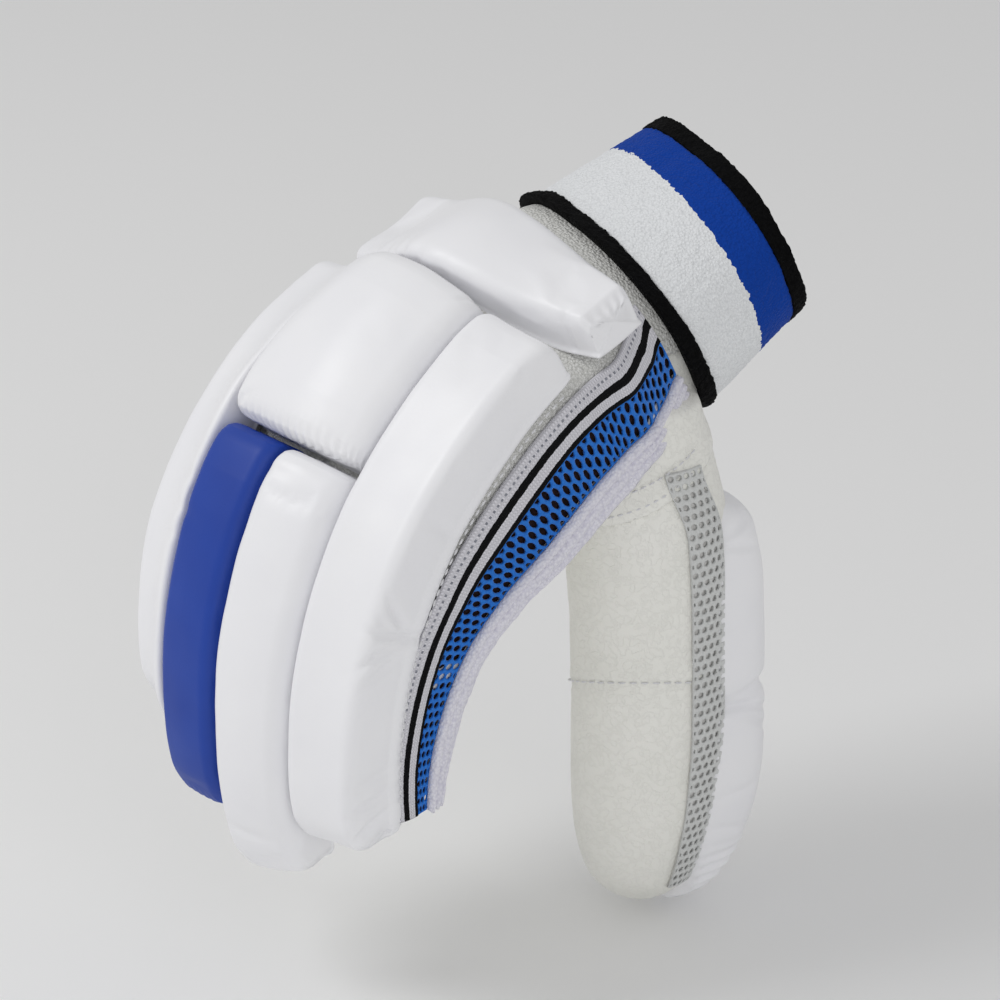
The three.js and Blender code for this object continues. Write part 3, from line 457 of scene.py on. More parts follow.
def spread_values(obj, values, ends):
    """Values of the vertices before one subdivision, carried to the subdivided mesh through its own order."""
    count = len(values)
    total = np.zeros((len(obj.data.vertices), values.shape[1]))
    total[:count] = values
    edges = np.empty(len(obj.data.edges) * 2, np.int32)
    obj.data.edges.foreach_get("vertices", edges)
    edges = edges.reshape(-1, 2)
    known = np.zeros(len(total), bool)
    known[:count] = True
    for _ in range(2):
        weight = np.zeros(len(total))
        gathered = np.zeros_like(total)
        for a, b in ((0, 1), (1, 0)):
            use = known[edges[:, a]] & ~known[edges[:, b]]
            np.add.at(gathered, edges[use, b], total[edges[use, a]])
            np.add.at(weight, edges[use, b], 1)
        new = weight > 0
        total[new] = gathered[new] / weight[new, None]
        known |= new
    total[:, 0] = np.clip(total[:, 0], *ends)
    return total


PUFF_PRESSURE = 4.0
PUFF_FRAMES = 20
PUFF_CAP = 1.6
PUFF_SINK = 0.7


def puff(obj, held):
    """Inflates a padded piece as cloth; held vertices stay, and no point moves more than PUFF_CAP mm."""
    scene = bpy.context.scene
    start = points_of(obj)
    group = obj.vertex_groups.new(name="held")
    group.add([int(i) for i in np.nonzero(held)[0]], 1.0, "REPLACE")
    mod = obj.modifiers.new("cloth", "CLOTH")
    s = mod.settings
    s.quality = 6
    s.mass = 0.3
    s.tension_stiffness = 25
    s.compression_stiffness = 25
    s.bending_stiffness = 1.5
    s.use_pressure = True
    s.uniform_pressure_force = PUFF_PRESSURE
    s.vertex_group_mass = "held"
    s.effector_weights.gravity = 0
    mod.point_cache.frame_start = 1
    mod.point_cache.frame_end = PUFF_FRAMES
    for frame_number in range(1, PUFF_FRAMES + 1):
        scene.frame_set(frame_number)
    depsgraph = bpy.context.evaluated_depsgraph_get()
    done = obj.evaluated_get(depsgraph).data
    co = np.empty(len(done.vertices) * 3)
    done.vertices.foreach_get("co", co)
    move = co.reshape(-1, 3) - start
    far = np.linalg.norm(move, axis=1, keepdims=True) + 1e-12
    move *= np.minimum(1, PUFF_CAP * 0.001 / far)
    obj.modifiers.clear()
    obj.vertex_groups.clear()
    scene.frame_set(1)
    set_points(obj, start + move)


def padded_body(name, rings, top, values, ends):
    """A pad through rings of points: drawn in by PUFF_SINK mm where top, puffed and subdivided once. Returned
    with the vertices' values, of which the first stays within ends."""
    obj = loft(name, rings)
    push(obj, np.where(top, -PUFF_SINK, 0.0))
    puff(obj, ~top)
    obj = applied(obj, "SUBSURF", levels=1, render_levels=1)
    return obj, spread_values(obj, np.stack([v.astype(float) for v in values], 1), ends)


# materials
def srgb(r, g, b):
    """A colour of 0 to 255 as the linear colour that Blender takes."""
    c = np.array([r, g, b]) / 255
    return tuple(np.where(c <= 0.04045, c / 12.92, ((c + 0.055) / 1.055) ** 2.4)) + (1.0,)


class Nodes:
    """A small wrapper for building one material's nodes."""

    def __init__(self, name, roughness=0.6, sheen=0.0):
        self.material = bpy.data.materials.new(name)
        self.material.use_nodes = True
        self.tree = self.material.node_tree
        self.shader = self.tree.nodes["Principled BSDF"]
        self.shader.inputs["Roughness"].default_value = roughness
        self.shader.inputs["Sheen Weight"].default_value = sheen
        self.shader.inputs["Sheen Roughness"].default_value = 0.4
        self.place = self.add("ShaderNodeTexCoord").outputs["Object"]

    def add(self, kind, **values):
        node = self.tree.nodes.new(kind)
        for key, value in values.items():
            if key in node.inputs:
                self.put(node.inputs[key], value)
            else:
                setattr(node, key, value)
        return node

    def put(self, socket, value):
        if isinstance(value, bpy.types.NodeSocket):
            self.tree.links.new(value, socket)
        else:
            socket.default_value = value

    def math(self, operation, a, b=0.0, c=0.0):
        node = self.tree.nodes.new("ShaderNodeMath")
        node.operation = operation
        self.put(node.inputs[0], a)
        self.put(node.inputs[1], b)
        self.put(node.inputs[2], c)
        return node.outputs[0]

    def noise(self, scale, detail=2.0):
        node = self.add("ShaderNodeTexNoise", Scale=scale, Detail=detail)
        self.put(node.inputs["Vector"], self.place)
        return node.outputs["Fac"]

    def cells(self, scale, feature="F1"):
        node = self.add("ShaderNodeTexVoronoi", feature=feature, Scale=scale)
        self.put(node.inputs["Vector"], self.place)
        return node.outputs["Distance"]

    def ramp(self, value, stops, interpolation="LINEAR"):
        node = self.tree.nodes.new("ShaderNodeValToRGB")
        node.color_ramp.interpolation = interpolation
        while len(node.color_ramp.elements) < len(stops):
            node.color_ramp.elements.new(0.5)
        for element, (at, colour) in zip(node.color_ramp.elements, stops):
            element.position = at
            element.color = colour if len(colour) == 4 else (*colour, 1)
        self.put(node.inputs[0], value)
        return node.outputs[0]

    def mix(self, share, a, b):
        node = self.tree.nodes.new("ShaderNodeMix")
        node.data_type = "RGBA"
        self.put(node.inputs[0], share)
        self.put(node.inputs[6], a)
        self.put(node.inputs[7], b)
        return node.outputs[2]

    def uv(self):
        node = self.add("ShaderNodeUVMap", uv_map="UVMap")
        split = self.tree.nodes.new("ShaderNodeSeparateXYZ")
        self.put(split.inputs[0], node.outputs[0])
        return split.outputs[0], split.outputs[1]

    def relief(self, height, depth, strength=1.0, below=None):
        """Adds one bump layer, depth in millimetres."""
        node = self.add("ShaderNodeBump", Strength=strength, Distance=depth * 0.001)
        self.put(node.inputs["Height"], height)
        if below is not None:
            self.put(node.inputs["Normal"], below)
        return node.outputs[0]

    def done(self, colour, normal=None, roughness=None):
        self.put(self.shader.inputs["Base Color"], colour)
        if normal is not None:
            self.put(self.shader.inputs["Normal"], normal)
        if roughness is not None:
            self.put(self.shader.inputs["Roughness"], roughness)
        return self.material


def pu_material(name, light, dark, roughness=0.42):
    """Smooth polyurethane facing with a faint grain and soft creases."""
    n = Nodes(name, roughness)
    broad = n.noise(45, 2)
    grain = n.cells(1500, "SMOOTH_F1")
    fine = n.noise(2600, 3)
    colour = n.mix(broad, light, dark)
    normal = n.relief(broad, 0.5, 0.25)
    normal = n.relief(grain, 0.05, 0.3, normal)
    normal = n.relief(fine, 0.03, 0.3, normal)
    rough = n.math("MULTIPLY_ADD", broad, 0.16, roughness - 0.08)
    return n.done(colour, normal, rough)


def leather_material():
    """Soft matt leather with a pebbled grain and fine wrinkles, painted a little darker along the wrinkles as
    painted shade.
    """
    n = Nodes("leather", 0.62)
    broad = n.noise(55, 3)
    wrinkle = n.noise(420, 4)
    ridge = n.math("ABSOLUTE", n.math("SUBTRACT", wrinkle, 0.5))
    crease = n.ramp(ridge, [(0.0, (0, 0, 0)), (0.06, (1, 1, 1))])
    grain = n.cells(1300, "DISTANCE_TO_EDGE")
    fine = n.noise(2400, 3)
    colour = n.mix(broad, srgb(251, 250, 245), srgb(240, 240, 233))
    # painted shade: the colour darkens a little along the lines of the wrinkles
    colour = n.mix(n.math("MULTIPLY", n.math("SUBTRACT", 1.0, crease), 0.05), colour, srgb(150, 148, 138))
    normal = n.relief(broad, 0.8, 0.4)
    normal = n.relief(crease, 0.2, 0.5, normal)
    normal = n.relief(grain, 0.14, 0.6, normal)
    normal = n.relief(fine, 0.08, 0.6, normal)
    return n.done(colour, normal)


def pimpled_material():
    """Pale backing fabric with small raised pimples, painted lighter on their tops and darker between them as
    painted light and shade.
    """
    n = Nodes("pimpled_fabric", 0.75)
    cell = n.cells(1150)
    pimple = n.math("SUBTRACT", 1.0, n.math("MULTIPLY", cell, 1.5))
    broad = n.noise(70, 2)
    # painted light and shade: the pimples' tops are painted lighter and the hollows between them darker
    shades = [(0.0, srgb(214, 214, 210)), (0.5, srgb(234, 234, 231)), (1.0, srgb(246, 246, 244))]
    colour = n.ramp(pimple, shades)
    colour = n.mix(n.math("MULTIPLY", broad, 0.2), colour, srgb(196, 197, 193))
    normal = n.relief(pimple, 0.5, 0.8)
    return n.done(colour, normal)


def terry_material(name, light, dark, scale=1100, sheen=0.2):
    """Looped towelling of one colour, painted darker between its loops as painted shade in the gaps."""
    n = Nodes(name, 0.95, sheen)
    loop = n.cells(scale)
    fine = n.noise(scale * 2.2, 3)
    # painted shade: the colour goes from light on the loops' tops to dark in the gaps between them
    colour = n.mix(loop, light, dark)
    normal = n.relief(n.math("SUBTRACT", 1.0, loop), 0.5, 0.7)
    normal = n.relief(fine, 0.3, 0.5, normal)
    return n.done(colour, normal)


def cuff_material(stripes, name):
    """Towelling whose colour changes with the height up the cuff; stripes are (height in mm, colour). The gaps
    between its loops are painted darker as painted shade.
    """
    n = Nodes(name, 0.95, 0.05)
    v = n.uv()[1]
    jag = n.math("MULTIPLY", n.math("SUBTRACT", n.noise(560, 2), 0.5), 0.0026)
    height = n.math("MULTIPLY", n.math("ADD", v, jag), 1000 / CUFF_LENGTH)
    colour = n.ramp(height, [(h / CUFF_LENGTH, c) for h, c in stripes], "CONSTANT")
    loop = n.cells(1300)
    fine = n.noise(2600, 3)
    # painted shade: each stripe's colour darkens towards navy in the gaps between the loops
    shade = n.mix(n.math("MULTIPLY", loop, 0.5), colour, n.mix(0.35, colour, srgb(8, 14, 40)))
    normal = n.relief(n.math("SUBTRACT", 1.0, loop), 0.5, 0.7)
    normal = n.relief(fine, 0.25, 0.5, normal)
    return n.done(shade, normal)


def tape_material():
    """Striped ribbed knit; u runs across the tape, v along it in metres. Its eyelet holes and the grooves
    between its ribs are painted darker as painted shade.
    """
    n = Nodes("striped_knit", 0.9, 0.0)
    u, v = n.uv()
    jag = n.math("MULTIPLY", n.math("SUBTRACT", n.noise(900, 2), 0.5), 0.05)
    across = n.math("ADD", u, jag)
    white, black = srgb(232, 231, 238), srgb(14, 14, 16)
    colour = n.ramp(across, [(0.0, white), (0.34, black), (0.57, white), (0.85, black)], "CONSTANT")
    eyelet_row = n.math("MULTIPLY", n.math("COMPARE", u, 0.16, 0.03), 1.0)
    eyelet_step = n.math("GREATER_THAN", n.math("SINE", n.math("MULTIPLY", v, 2 * math.pi / 0.0021)), 0.2)
    # painted shade: the eyelet holes are painted grey
    colour = n.mix(n.math("MULTIPLY", eyelet_row, eyelet_step), colour, srgb(150, 152, 162))
    rows = n.math("ABSOLUTE", n.math("SINE", n.math("MULTIPLY", v, math.pi / 0.0011)))
    ribs = n.math("ABSOLUTE", n.math("SINE", n.math("MULTIPLY", u, math.pi * 9)))
    knit = n.math("MULTIPLY", rows, ribs)
    # painted shade: the grooves between the ribs and rows are painted darker
    groove_shade = n.mix(0.45, colour, srgb(4, 4, 6))
    shade = n.mix(n.math("MULTIPLY", n.math("SUBTRACT", 1.0, knit), 0.4), colour, groove_shade)
    normal = n.relief(knit, 0.35, 0.8)
    normal = n.relief(n.noise(2600, 2), 0.1, 0.5, normal)
    return n.done(shade, normal)


def knit_material(name, light, dark):
    """Twisted yarn of a net or thread."""
    n = Nodes(name, 0.7, 0.25)
    strand = n.noise(1500, 3)
    colour = n.mix(strand, light, dark)
    normal = n.relief(n.cells(1700), 0.25, 0.7)
    return n.done(colour, normal)


CUFF_BLUE_FROM = 24.2
WHITE_PU = pu_material("white_pu", srgb(250, 250, 252), srgb(243, 243, 247))
BLUE_PU = pu_material("blue_pu", srgb(8, 66, 172), srgb(6, 54, 152), 0.5)
LEATHER = leather_material()
PIMPLED = pimpled_material()
TERRY = terry_material("terry", srgb(246, 245, 252), srgb(216, 214, 228))
TAPE = tape_material()
BLUE_NET = knit_material("blue_mesh", srgb(52, 138, 232), srgb(24, 92, 190))
PALE_NET = knit_material("white_mesh", srgb(226, 227, 226), srgb(202, 204, 203))
BLACK_KNIT = terry_material("black_knit", srgb(12, 12, 13), srgb(2, 2, 3), 1300, 0.0)
CUFF = cuff_material([(0.0, srgb(248, 250, 252)), (CUFF_BLUE_FROM, srgb(18, 68, 168))], "striped_towelling")
THREAD = knit_material("thread", srgb(238, 238, 240), srgb(214, 214, 218))
# painted shade: PALE_SHADE and SHADE colour the sheets under the nets as the shade seen through their holes
PALE_SHADE = terry_material("pale_shade", srgb(232, 231, 229), srgb(212, 211, 209), 700, 0.0)
SHADE = terry_material("inner_shade", srgb(58, 40, 38), srgb(24, 18, 20), 700, 0.0)
for material in (CUFF, BLACK_KNIT, TERRY, TAPE, BLUE_NET, PALE_NET, PIMPLED, SHADE, PALE_SHADE):
    material.node_tree.nodes["Principled BSDF"].inputs["Specular IOR Level"].default_value = 0.12


def finish_piece(obj, nodes, material):
    """Gives the piece its material, rides it on the one body and hides the parts of model.glb that it stands
    for.
    """
    obj.data.materials.clear()
    obj.data.materials.append(material)
    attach(obj, "root")
    for node in nodes:
        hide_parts(node)
    return obj


# the skin: hand, fingers and thumb
def hand_body():
    """The hand from its wrist to the web of the fingers."""
    rings = []
    for share in np.linspace(0.0, 0.44, 46):
        half = float(hand_half_width(share))
        rings.append(section(share, -half, half, 0, 1, 10, 16))
    for share, scale in ((0.455, 0.995), (0.468, 0.98), (0.476, 0.95)):
        rings.append(section(share, -HAND_HALF_WIDTH, HAND_HALF_WIDTH, 0, scale, 10, 16))
    return loft("hand", rings)


def finger_body(name):
    """One finger's stall with its rounded tip."""
    left = (SLOT[name] - 0.5) * FINGER_PITCH + 0.5
    right = (SLOT[name] + 0.5) * FINGER_PITCH - 0.5
    reach = REACH[name]
    tip = FINGERTIP_DEPTH / 2 / HAND_LENGTH
    rings = [section(s, left, right, 0, 1, 6, 4) for s in np.linspace(0.38, reach - tip, 44)]
    for t in (0.25, 0.5, 0.7, 0.85, 0.94, 1.0):
        rings.append(section(reach - tip * (1 - t), left, right, 0, math.sqrt(1 - t * t * 0.93), 6, 4))
    return loft(name, rings)


def thumb_body():
    """The thumb's sleeve."""
    angles = np.linspace(0, 2 * math.pi, 72, endpoint=False)
    shares = np.concatenate([np.linspace(0, 0.86, 60), np.linspace(0.87, 1.0, 16)])
    return loft("thumb", [thumb_skin(s, angles) for s in shares])


def skin_samples():
    """Points of the skin, whether each is the thumb's, and its share of the way from the back to the palm."""
    where, on_thumb, to_palm = [], [], []

    def add(point, is_thumb, share):
        where.append(point)
        on_thumb.append(is_thumb)
        to_palm.append(share)

    for share in np.linspace(0, 0.99, 120):
        depth = float(hand_depth(share))
        half = float(hand_half_width(share))
        for around in np.linspace(0, 1, 25):
            for side in (-1, 1):
                add(hand_point(share, side * half, around * depth), False, around)
        for x in np.linspace(-half, half, 29):
            for around in (0.0, 1.0):
                add(hand_point(share, x, around * depth), False, around)
    for share in np.linspace(0, 1, 60):
        for angle in np.linspace(0, 2 * math.pi, 48, endpoint=False):
            add(thumb_skin(share, angle), True, 1.0)
    return np.array(where), np.array(on_thumb), np.array(to_palm)


SKIN_VOXEL = 0.0015
SKIN_SMOOTHING = 10
# Where the fabric back ends on the way to the palm, as a share
BACK_TO = 0.42
# Where the skin's closed wrist end is taken off, in millimetres along the cuff's axis from its seam
WRIST_OPEN_FROM = -0.8
skin = join("skin", [hand_body(), thumb_body()] + [finger_body(n) for n in REACH])
skin = applied(skin, "REMESH", mode="VOXEL", voxel_size=SKIN_VOXEL, use_smooth_shade=True)
skin = applied(skin, "SMOOTH", factor=0.5, iterations=SKIN_SMOOTHING)


def seam_height(points):
    """Height in millimetres above the plane of the seam between thumb and palm."""
    return points[..., 2] - (THUMB_SEAM_HEIGHT + THUMB_SEAM_SLOPE * (points[..., 1] - THUMB_ROOT[1]))


def cut_at_seam(obj):
    """Adds edges to the mesh along the plane of the thumb's seam."""
    bm = bmesh.new()
    bm.from_mesh(obj.data)
    parts = bm.verts[:] + bm.edges[:] + bm.faces[:]
    at = row(np.array([THUMB_ROOT[0], THUMB_ROOT[1], THUMB_SEAM_HEIGHT]))
    bmesh.ops.bisect_plane(bm, geom=parts, plane_co=at, plane_no=(0, -THUMB_SEAM_SLOPE, 1), dist=1e-6)
    bm.to_mesh(obj.data)
    bm.free()


cut_at_seam(skin)
skin_tree = BVHTree.FromObject(skin, bpy.context.evaluated_depsgraph_get())
sample_at, sample_on_thumb, sample_to_palm = skin_samples()
tree = KDTree(len(sample_at))
for i, p in enumerate(row(sample_at)):
    tree.insert(p, i)
tree.balance()
skin_co = points_of(skin)
skin_mm = unrow(skin_co)
skin_normals = normals_of(skin)
face_lists = [tuple(p.vertices) for p in skin.data.polygons]
face_centres = np.array([skin_co[list(f)].mean(0) for f in face_lists])
nearest = np.array([tree.find(p)[1] for p in face_centres])
at_wrist_end = (unrow(face_centres) - seam_middle) @ cuff_axis > WRIST_OPEN_FROM
face_is_thumb = sample_on_thumb[nearest] & (seam_height(unrow(face_centres)) < 0)
face_is_back = ~face_is_thumb & ~sample_on_thumb[nearest] & (sample_to_palm[nearest] < BACK_TO)


def part_of_skin(name, keep, nodes, material, lift):
    """The kept faces of the skin, lifted by lift millimetres and thickened inwards by the wall."""
    faces = [f for f, k in zip(face_lists, keep) if k]
    used = np.unique(np.concatenate([np.array(f) for f in faces]))
    remap = -np.ones(len(skin_co), int)
    remap[used] = np.arange(len(used))
    verts = skin_mm[used] + skin_normals[used] * lift[used][:, None]
    obj = make(name, verts, [tuple(remap[v] for v in f) for f in faces])
    obj = applied(obj, "SOLIDIFY", thickness=FABRIC_WALL * 0.001, offset=-1.0)
    return finish_piece(obj, nodes, material)


# The seam across the thumb lies in a tilted plane: its normal and the height along it, in mm
CROSS_SEAM_UP = np.array([-0.299, 0.251, 0.92])
CROSS_SEAM_AT = 64.4
height = seam_height(skin_mm)
wrinkle = lumps(skin_mm, (0.3, 14, 3), (0.14, 6, 4))
# Fine creases over the thumb's upper part: depth in mm, direction across them, radians of turn for each mm
CREASE_DEPTH = 0.16
CREASE_ACROSS = np.array([0.5, -0.5, 0.7])
CREASE_TURN = 1.9
waves = np.sin(skin_mm @ CREASE_ACROSS * CREASE_TURN + 3 * noise3(skin_mm, 9, 5))
crease = CREASE_DEPTH * waves * ease(-44, -4, height) * (height < 0)
cross_height = skin_mm @ CROSS_SEAM_UP
cross_seam = 0.3 * bump(cross_height, CROSS_SEAM_AT + 1.8, 1.5)
cross_seam -= 0.6 * bump(cross_height, CROSS_SEAM_AT - 0.9, 0.9)
thumb_lift = wrinkle + crease + cross_seam + 0.2
palm_lift = wrinkle + 0.75 * ease(7, 2, height) * (height > -3)
part_of_skin("palm_leather", ~(face_is_thumb | face_is_back | at_wrist_end),
             ["palm", *(name + "_stall" for name in REACH)], LEATHER, palm_lift)
part_of_skin("thumb_leather", face_is_thumb, ["thumb_sleeve"], LEATHER, thumb_lift)
part_of_skin("back_fabric", face_is_back & ~at_wrist_end, ["back_panel"], PIMPLED,
             wrinkle * 0.5)


# threads
def stitches(name, path, length, gap, radius, lift, node, material):
    """Short threads along a path of points; each lies on the skin under it, lift millimetres proud."""
    path = np.asarray(path, float)
    run = np.concatenate([[0], np.cumsum(np.linalg.norm(np.diff(path, axis=0), axis=1))])
    verts, faces = [], []
    count = int(run[-1] // (length + gap))
    for i in range(count):
        ends = []
        for s in np.linspace(i * (length + gap), i * (length + gap) + length, 4):
            p = np.array([np.interp(s, run, path[:, k]) for k in range(3)])
            hit, normal, _, _ = skin_tree.find_nearest(Vector(row(p)))
            ends.append((p, np.array(normal)))
        along = ends[-1][0] - ends[0][0]
        along /= np.linalg.norm(along) + 1e-9
        base = len(verts)
        for k, (p, normal) in enumerate(ends):
            side = np.cross(along, normal)
            side /= np.linalg.norm(side) + 1e-9
            size = radius * (0.45 if k in (0, 3) else 1.0)
            centre = p + normal * (lift + (0.0 if k in (0, 3) else radius * 0.5))
            for a in np.linspace(0, 2 * math.pi, 6, endpoint=False):
                verts.append(centre + (side * math.cos(a) + normal * math.sin(a)) * size)
        faces += grid_faces(4, 6, closed=True, start=base)
        faces.append(tuple(base + j for j in range(5, -1, -1)))
        faces.append(tuple(base + 18 + j for j in range(6)))
    obj = make(name, np.array(verts), faces)
    return finish_piece(obj, [node], material)


def on_skin(points):
    """Each point moved to the nearest place on the skin."""
    out = []
    for p in row(np.asarray(points, float)):
        hit, _, _, _ = skin_tree.find_nearest(Vector(p))
        out.append(unrow(np.array(hit)))
    return np.array(out)


def seam_row(above, low_angle, high_angle):
    """A path round the thumb's root, above the seam by that many millimetres."""
    path = []
    for angle in np.radians(np.linspace(low_angle, high_angle, 60)):
        share = 0.1
        for _ in range(12):
            miss = seam_height(thumb_skin(share, angle)) - above
            share = np.clip(share + miss / THUMB_LENGTH * 0.7, -0.3, 0.6)
        path.append(thumb_skin(share, angle))
    return on_skin(path)


HEEL_ROWS_ABOVE = (2.4, 7.4)
for number, above in enumerate(HEEL_ROWS_ABOVE):
    stitches("heel_stitches_%d" % number, seam_row(above, 62, 190), 1.7, 0.8, 0.28, 0.75,
             "palm", THREAD)
cross_path = []
for angle in np.radians(np.linspace(84, 250, 80)):
    share = 0.5
    for _ in range(14):
        miss = thumb_skin(share, angle) @ CROSS_SEAM_UP - CROSS_SEAM_AT
        share += miss / THUMB_LENGTH * 0.7
    cross_path.append(thumb_skin(share, angle))
stitches("thumb_cross_stitches", on_skin(cross_path), 2.0, 1.1, 0.3, 0.45,
         "thumb_sleeve", THREAD)
edge_path = [hand_point(s, 51.35, 2.3) for s in np.linspace(0.27, 0.9, 120)]
stitches("index_edge_stitches", edge_path, 1.9, 1.0, 0.28, 0.1, "index_roll", THREAD)


# rolls and pads
EDGE_RADIUS = 4.4
ROLL_CROWN = 0.06
ROLL_RING_STEP = 1.8
ROLL_RING_POINTS = 72


def profile(count, half, tall):
    """Half section of a roll: shares across (-1 to 1) and up (0 to 1), evenly spaced along it."""
    turn = np.linspace(0, math.pi / 2, 20)
    level = half - EDGE_RADIUS
    side = level + EDGE_RADIUS * np.cos(turn)
    rise = tall - EDGE_RADIUS + EDGE_RADIUS * np.sin(turn)
    wide = np.concatenate([[half], side, np.linspace(level, -level, 30)[1:-1], -side[::-1], [-half]])
    high = np.concatenate([[0], rise, np.full(28, tall), rise[::-1], [0]])
    crown = 1 - ROLL_CROWN * (wide / half) ** 2
    across, up = wide / half, high / tall * crown
    length = np.concatenate([[0], np.cumsum(np.hypot(np.diff(wide), np.diff(high)))])
    at = np.linspace(0, length[-1], count)
    return np.interp(at, length, across), np.interp(at, length, up)


def roll_grid(left, right, start, end, thickness, flap_left, flap_right, blunt):
    """Rings of one roll: each point's share along the hand, its x and its depth under the back."""
    length = (end - start) * HAND_LENGTH
    at = np.unique(np.concatenate([
        np.linspace(0, length, int(length / ROLL_RING_STEP)), np.linspace(0, 0.8 * thickness, 14),
        length - np.linspace(0, thickness, 16)]))
    tip = ROLL_END if blunt else ROLL_TIP

    def by_end(table, column, along):
        return smooth(np.array(table["along"]) * thickness, table[column], along)

    up = np.minimum(by_end(ROLL_END, "up", at), by_end(tip, "up", length - at))
    inset = np.maximum(by_end(ROLL_END, "inset", at), by_end(tip, "inset", length - at))
    p_across, p_up = profile(ROLL_RING_POINTS, (right - left) / 2, thickness)
    share = start + at / HAND_LENGTH
    low = left + (right - left) * inset
    high = right - (right - left) * inset
    middle, half = (low + high) / 2, (high - low) / 2
    x = middle[:, None] + half[:, None] * p_across[None, :]
    down = -up[:, None] * thickness * p_up[None, :]
    # the underside, with a flap that grows from the roll's start below either edge
    grown = 0.25 + 0.75 * np.minimum(1, at / (length * 0.5))
    flaps = [flap * grown if flap else np.full(len(at), 0.2) for flap in (flap_left, flap_right)]
    seat = np.full(len(at), 0.6)
    under_x = np.stack([low + (high - low) * t for t in (0.02, 0.25, 0.5, 0.75, 0.98)], 1)
    under_down = np.stack([flaps[0], seat, seat, seat, flaps[1]], 1)
    x = np.concatenate([x, under_x], 1)
    down = np.concatenate([down, under_down], 1)
    return np.repeat(share[:, None], x.shape[1], 1), x, down


def fold_depth(run, girth, rows):
    """Depth in millimetres of soft folds. run: mm along the roll. girth: mm round it from the hand's middle.
    Each fold has its middle, its turn from the roll's length in degrees, and its length, width and depth."""
    total = np.zeros(run.shape)
    for share, middle, turn, length, width, depth in rows:
        along = run - share * HAND_LENGTH
        across = girth - middle
        c, s = math.cos(math.radians(turn)), math.sin(math.radians(turn))
        off, on = (across * c - along * s) / width, (along * c + across * s) / length
        total += depth * np.exp(-off ** 2 - on ** 2)
    return total


# Folds: share of the hand's length, girth in mm, turn in degrees, length, width and depth in mm
INDEX_FOLDS = (
    (0.64, 66, 90, 3.5, 2.2, 0.9), (0.62, 60, 52, 7.0, 1.3, 1.5), (0.642, 58, 88, 8.0, 1.3, 1.7),
    (0.664, 58, 118, 8.0, 1.4, 1.5), (0.632, 57, 70, 6.0, 1.0, 0.8), (0.684, 60, 128, 7.0, 1.6, 1.0),
    (0.83, 62, 100, 7.0, 1.8, 0.9), (0.865, 60, 104, 8.0, 1.6, 1.2), (0.9, 59, 112, 8.0, 1.6, 1.2),
    (0.93, 58, 120, 7.0, 1.5, 1.0), (0.5, 62, 84, 5.0, 2.0, 0.5),
)
LITTLE_FOLDS = (
    (0.56, -31, 70, 5.0, 1.2, 0.7), (0.6, -31, 84, 6.0, 1.2, 0.9), (0.635, -31, 100, 5.0, 1.2, 0.7),
    (0.66, -64, 90, 6.0, 1.3, 0.8), (0.9, -60, 80, 6.0, 1.4, 0.7),
)
CENTRE_FOLDS = (
    (0.47, 20, 60, 4.0, 1.2, 0.7), (0.465, -19, 120, 4.0, 1.2, 0.6), (0.25, 23, 130, 4.0, 1.2, 0.5),
)
MIDDLE_FOLDS = (
    (0.93, 12, 80, 7.0, 1.4, 0.5), (0.965, 16, 100, 6.0, 1.2, 0.6), (0.52, 5, 95, 5.0, 1.6, 0.3),
)
RING_FOLDS = ((0.9, -12, 100, 6.0, 1.6, 0.4), (0.6, -22, 80, 7.0, 1.8, 0.3))


def roll(name, node, left, right, start, end, thickness, flaps, material, folds, blunt=False):
    """One roll or pad between two shares of the hand's length and two places across it, in mm."""
    share, x, down = roll_grid(left, right, start, end, thickness, *flaps, blunt)
    rings = hand_point(share, x, down)
    share = np.append(share.ravel(), [share[0, 0], share[-1, 0]])
    x = np.append(x.ravel(), [x[0].mean(), x[-1].mean()])
    down = np.append(down.ravel(), [down[0].mean(), down[-1].mean()])
    top = down < PAD_TOP
    middle, half = (left + right) / 2, (right - left) / 2
    side = ease(0.72, 1.0, np.abs(x - middle) / half) * np.sign(x - middle)
    girth = x + side * (thickness + down)
    folded = (np.abs(x - middle) > half * 0.9) | top
    obj, fine = padded_body(name, rings, top, (share, girth, folded), (start, end))
    share, girth, folded = fine.T
    soft = lumps(unrow(points_of(obj)), (0.2, 17, 11), (0.1, 6, 12))
    gather = 0.3 * np.sin(girth * 2.1) * ease(end - 0.035, end, share)
    push(obj, (soft - gather - fold_depth(share * HAND_LENGTH, girth, folds)) * folded)
    finish_piece(obj, [node], material)


PAD_TOP = -0.3
EDGE = HAND_HALF_WIDTH + 1.5
GAP = CLEARANCE / 2
STEP = CLEARANCE / HAND_LENGTH
PAD_START = 0.235 + 2 * STEP
ROLL_START = KNUCKLE_LINE + STEP
# Finger, left and right edge, start, flaps below the two edges, material, slot and folds
ROLLS = (
    ("index", FINGER_PITCH + GAP, EDGE, PAD_START, (0, 5.6), WHITE_PU, "white_pu", INDEX_FOLDS),
    ("middle", GAP, FINGER_PITCH - GAP, ROLL_START, (0, 0), WHITE_PU, "white_pu", MIDDLE_FOLDS),
    ("ring", GAP - FINGER_PITCH, -GAP, ROLL_START, (0, 0), BLUE_PU, "blue_pu", RING_FOLDS),
    ("little", -EDGE, -FINGER_PITCH - GAP, PAD_START, (4.6, 0), WHITE_PU, "white_pu", LITTLE_FOLDS),
)
for finger, left, right, start, flaps, material, slot, folds in ROLLS:
    roll(finger + "_roll_pad", finger + "_roll", left, right, start, REACH[finger] + TIP_CAP, ROLL_THICKNESS,
         flaps, material, folds)
roll("centre_pad_cover", "centre_pad", GAP - FINGER_PITCH, FINGER_PITCH - GAP, PAD_START, KNUCKLE_LINE - STEP,
     CENTRE_PAD_THICKNESS, (0, 0), WHITE_PU, CENTRE_FOLDS, blunt=True)


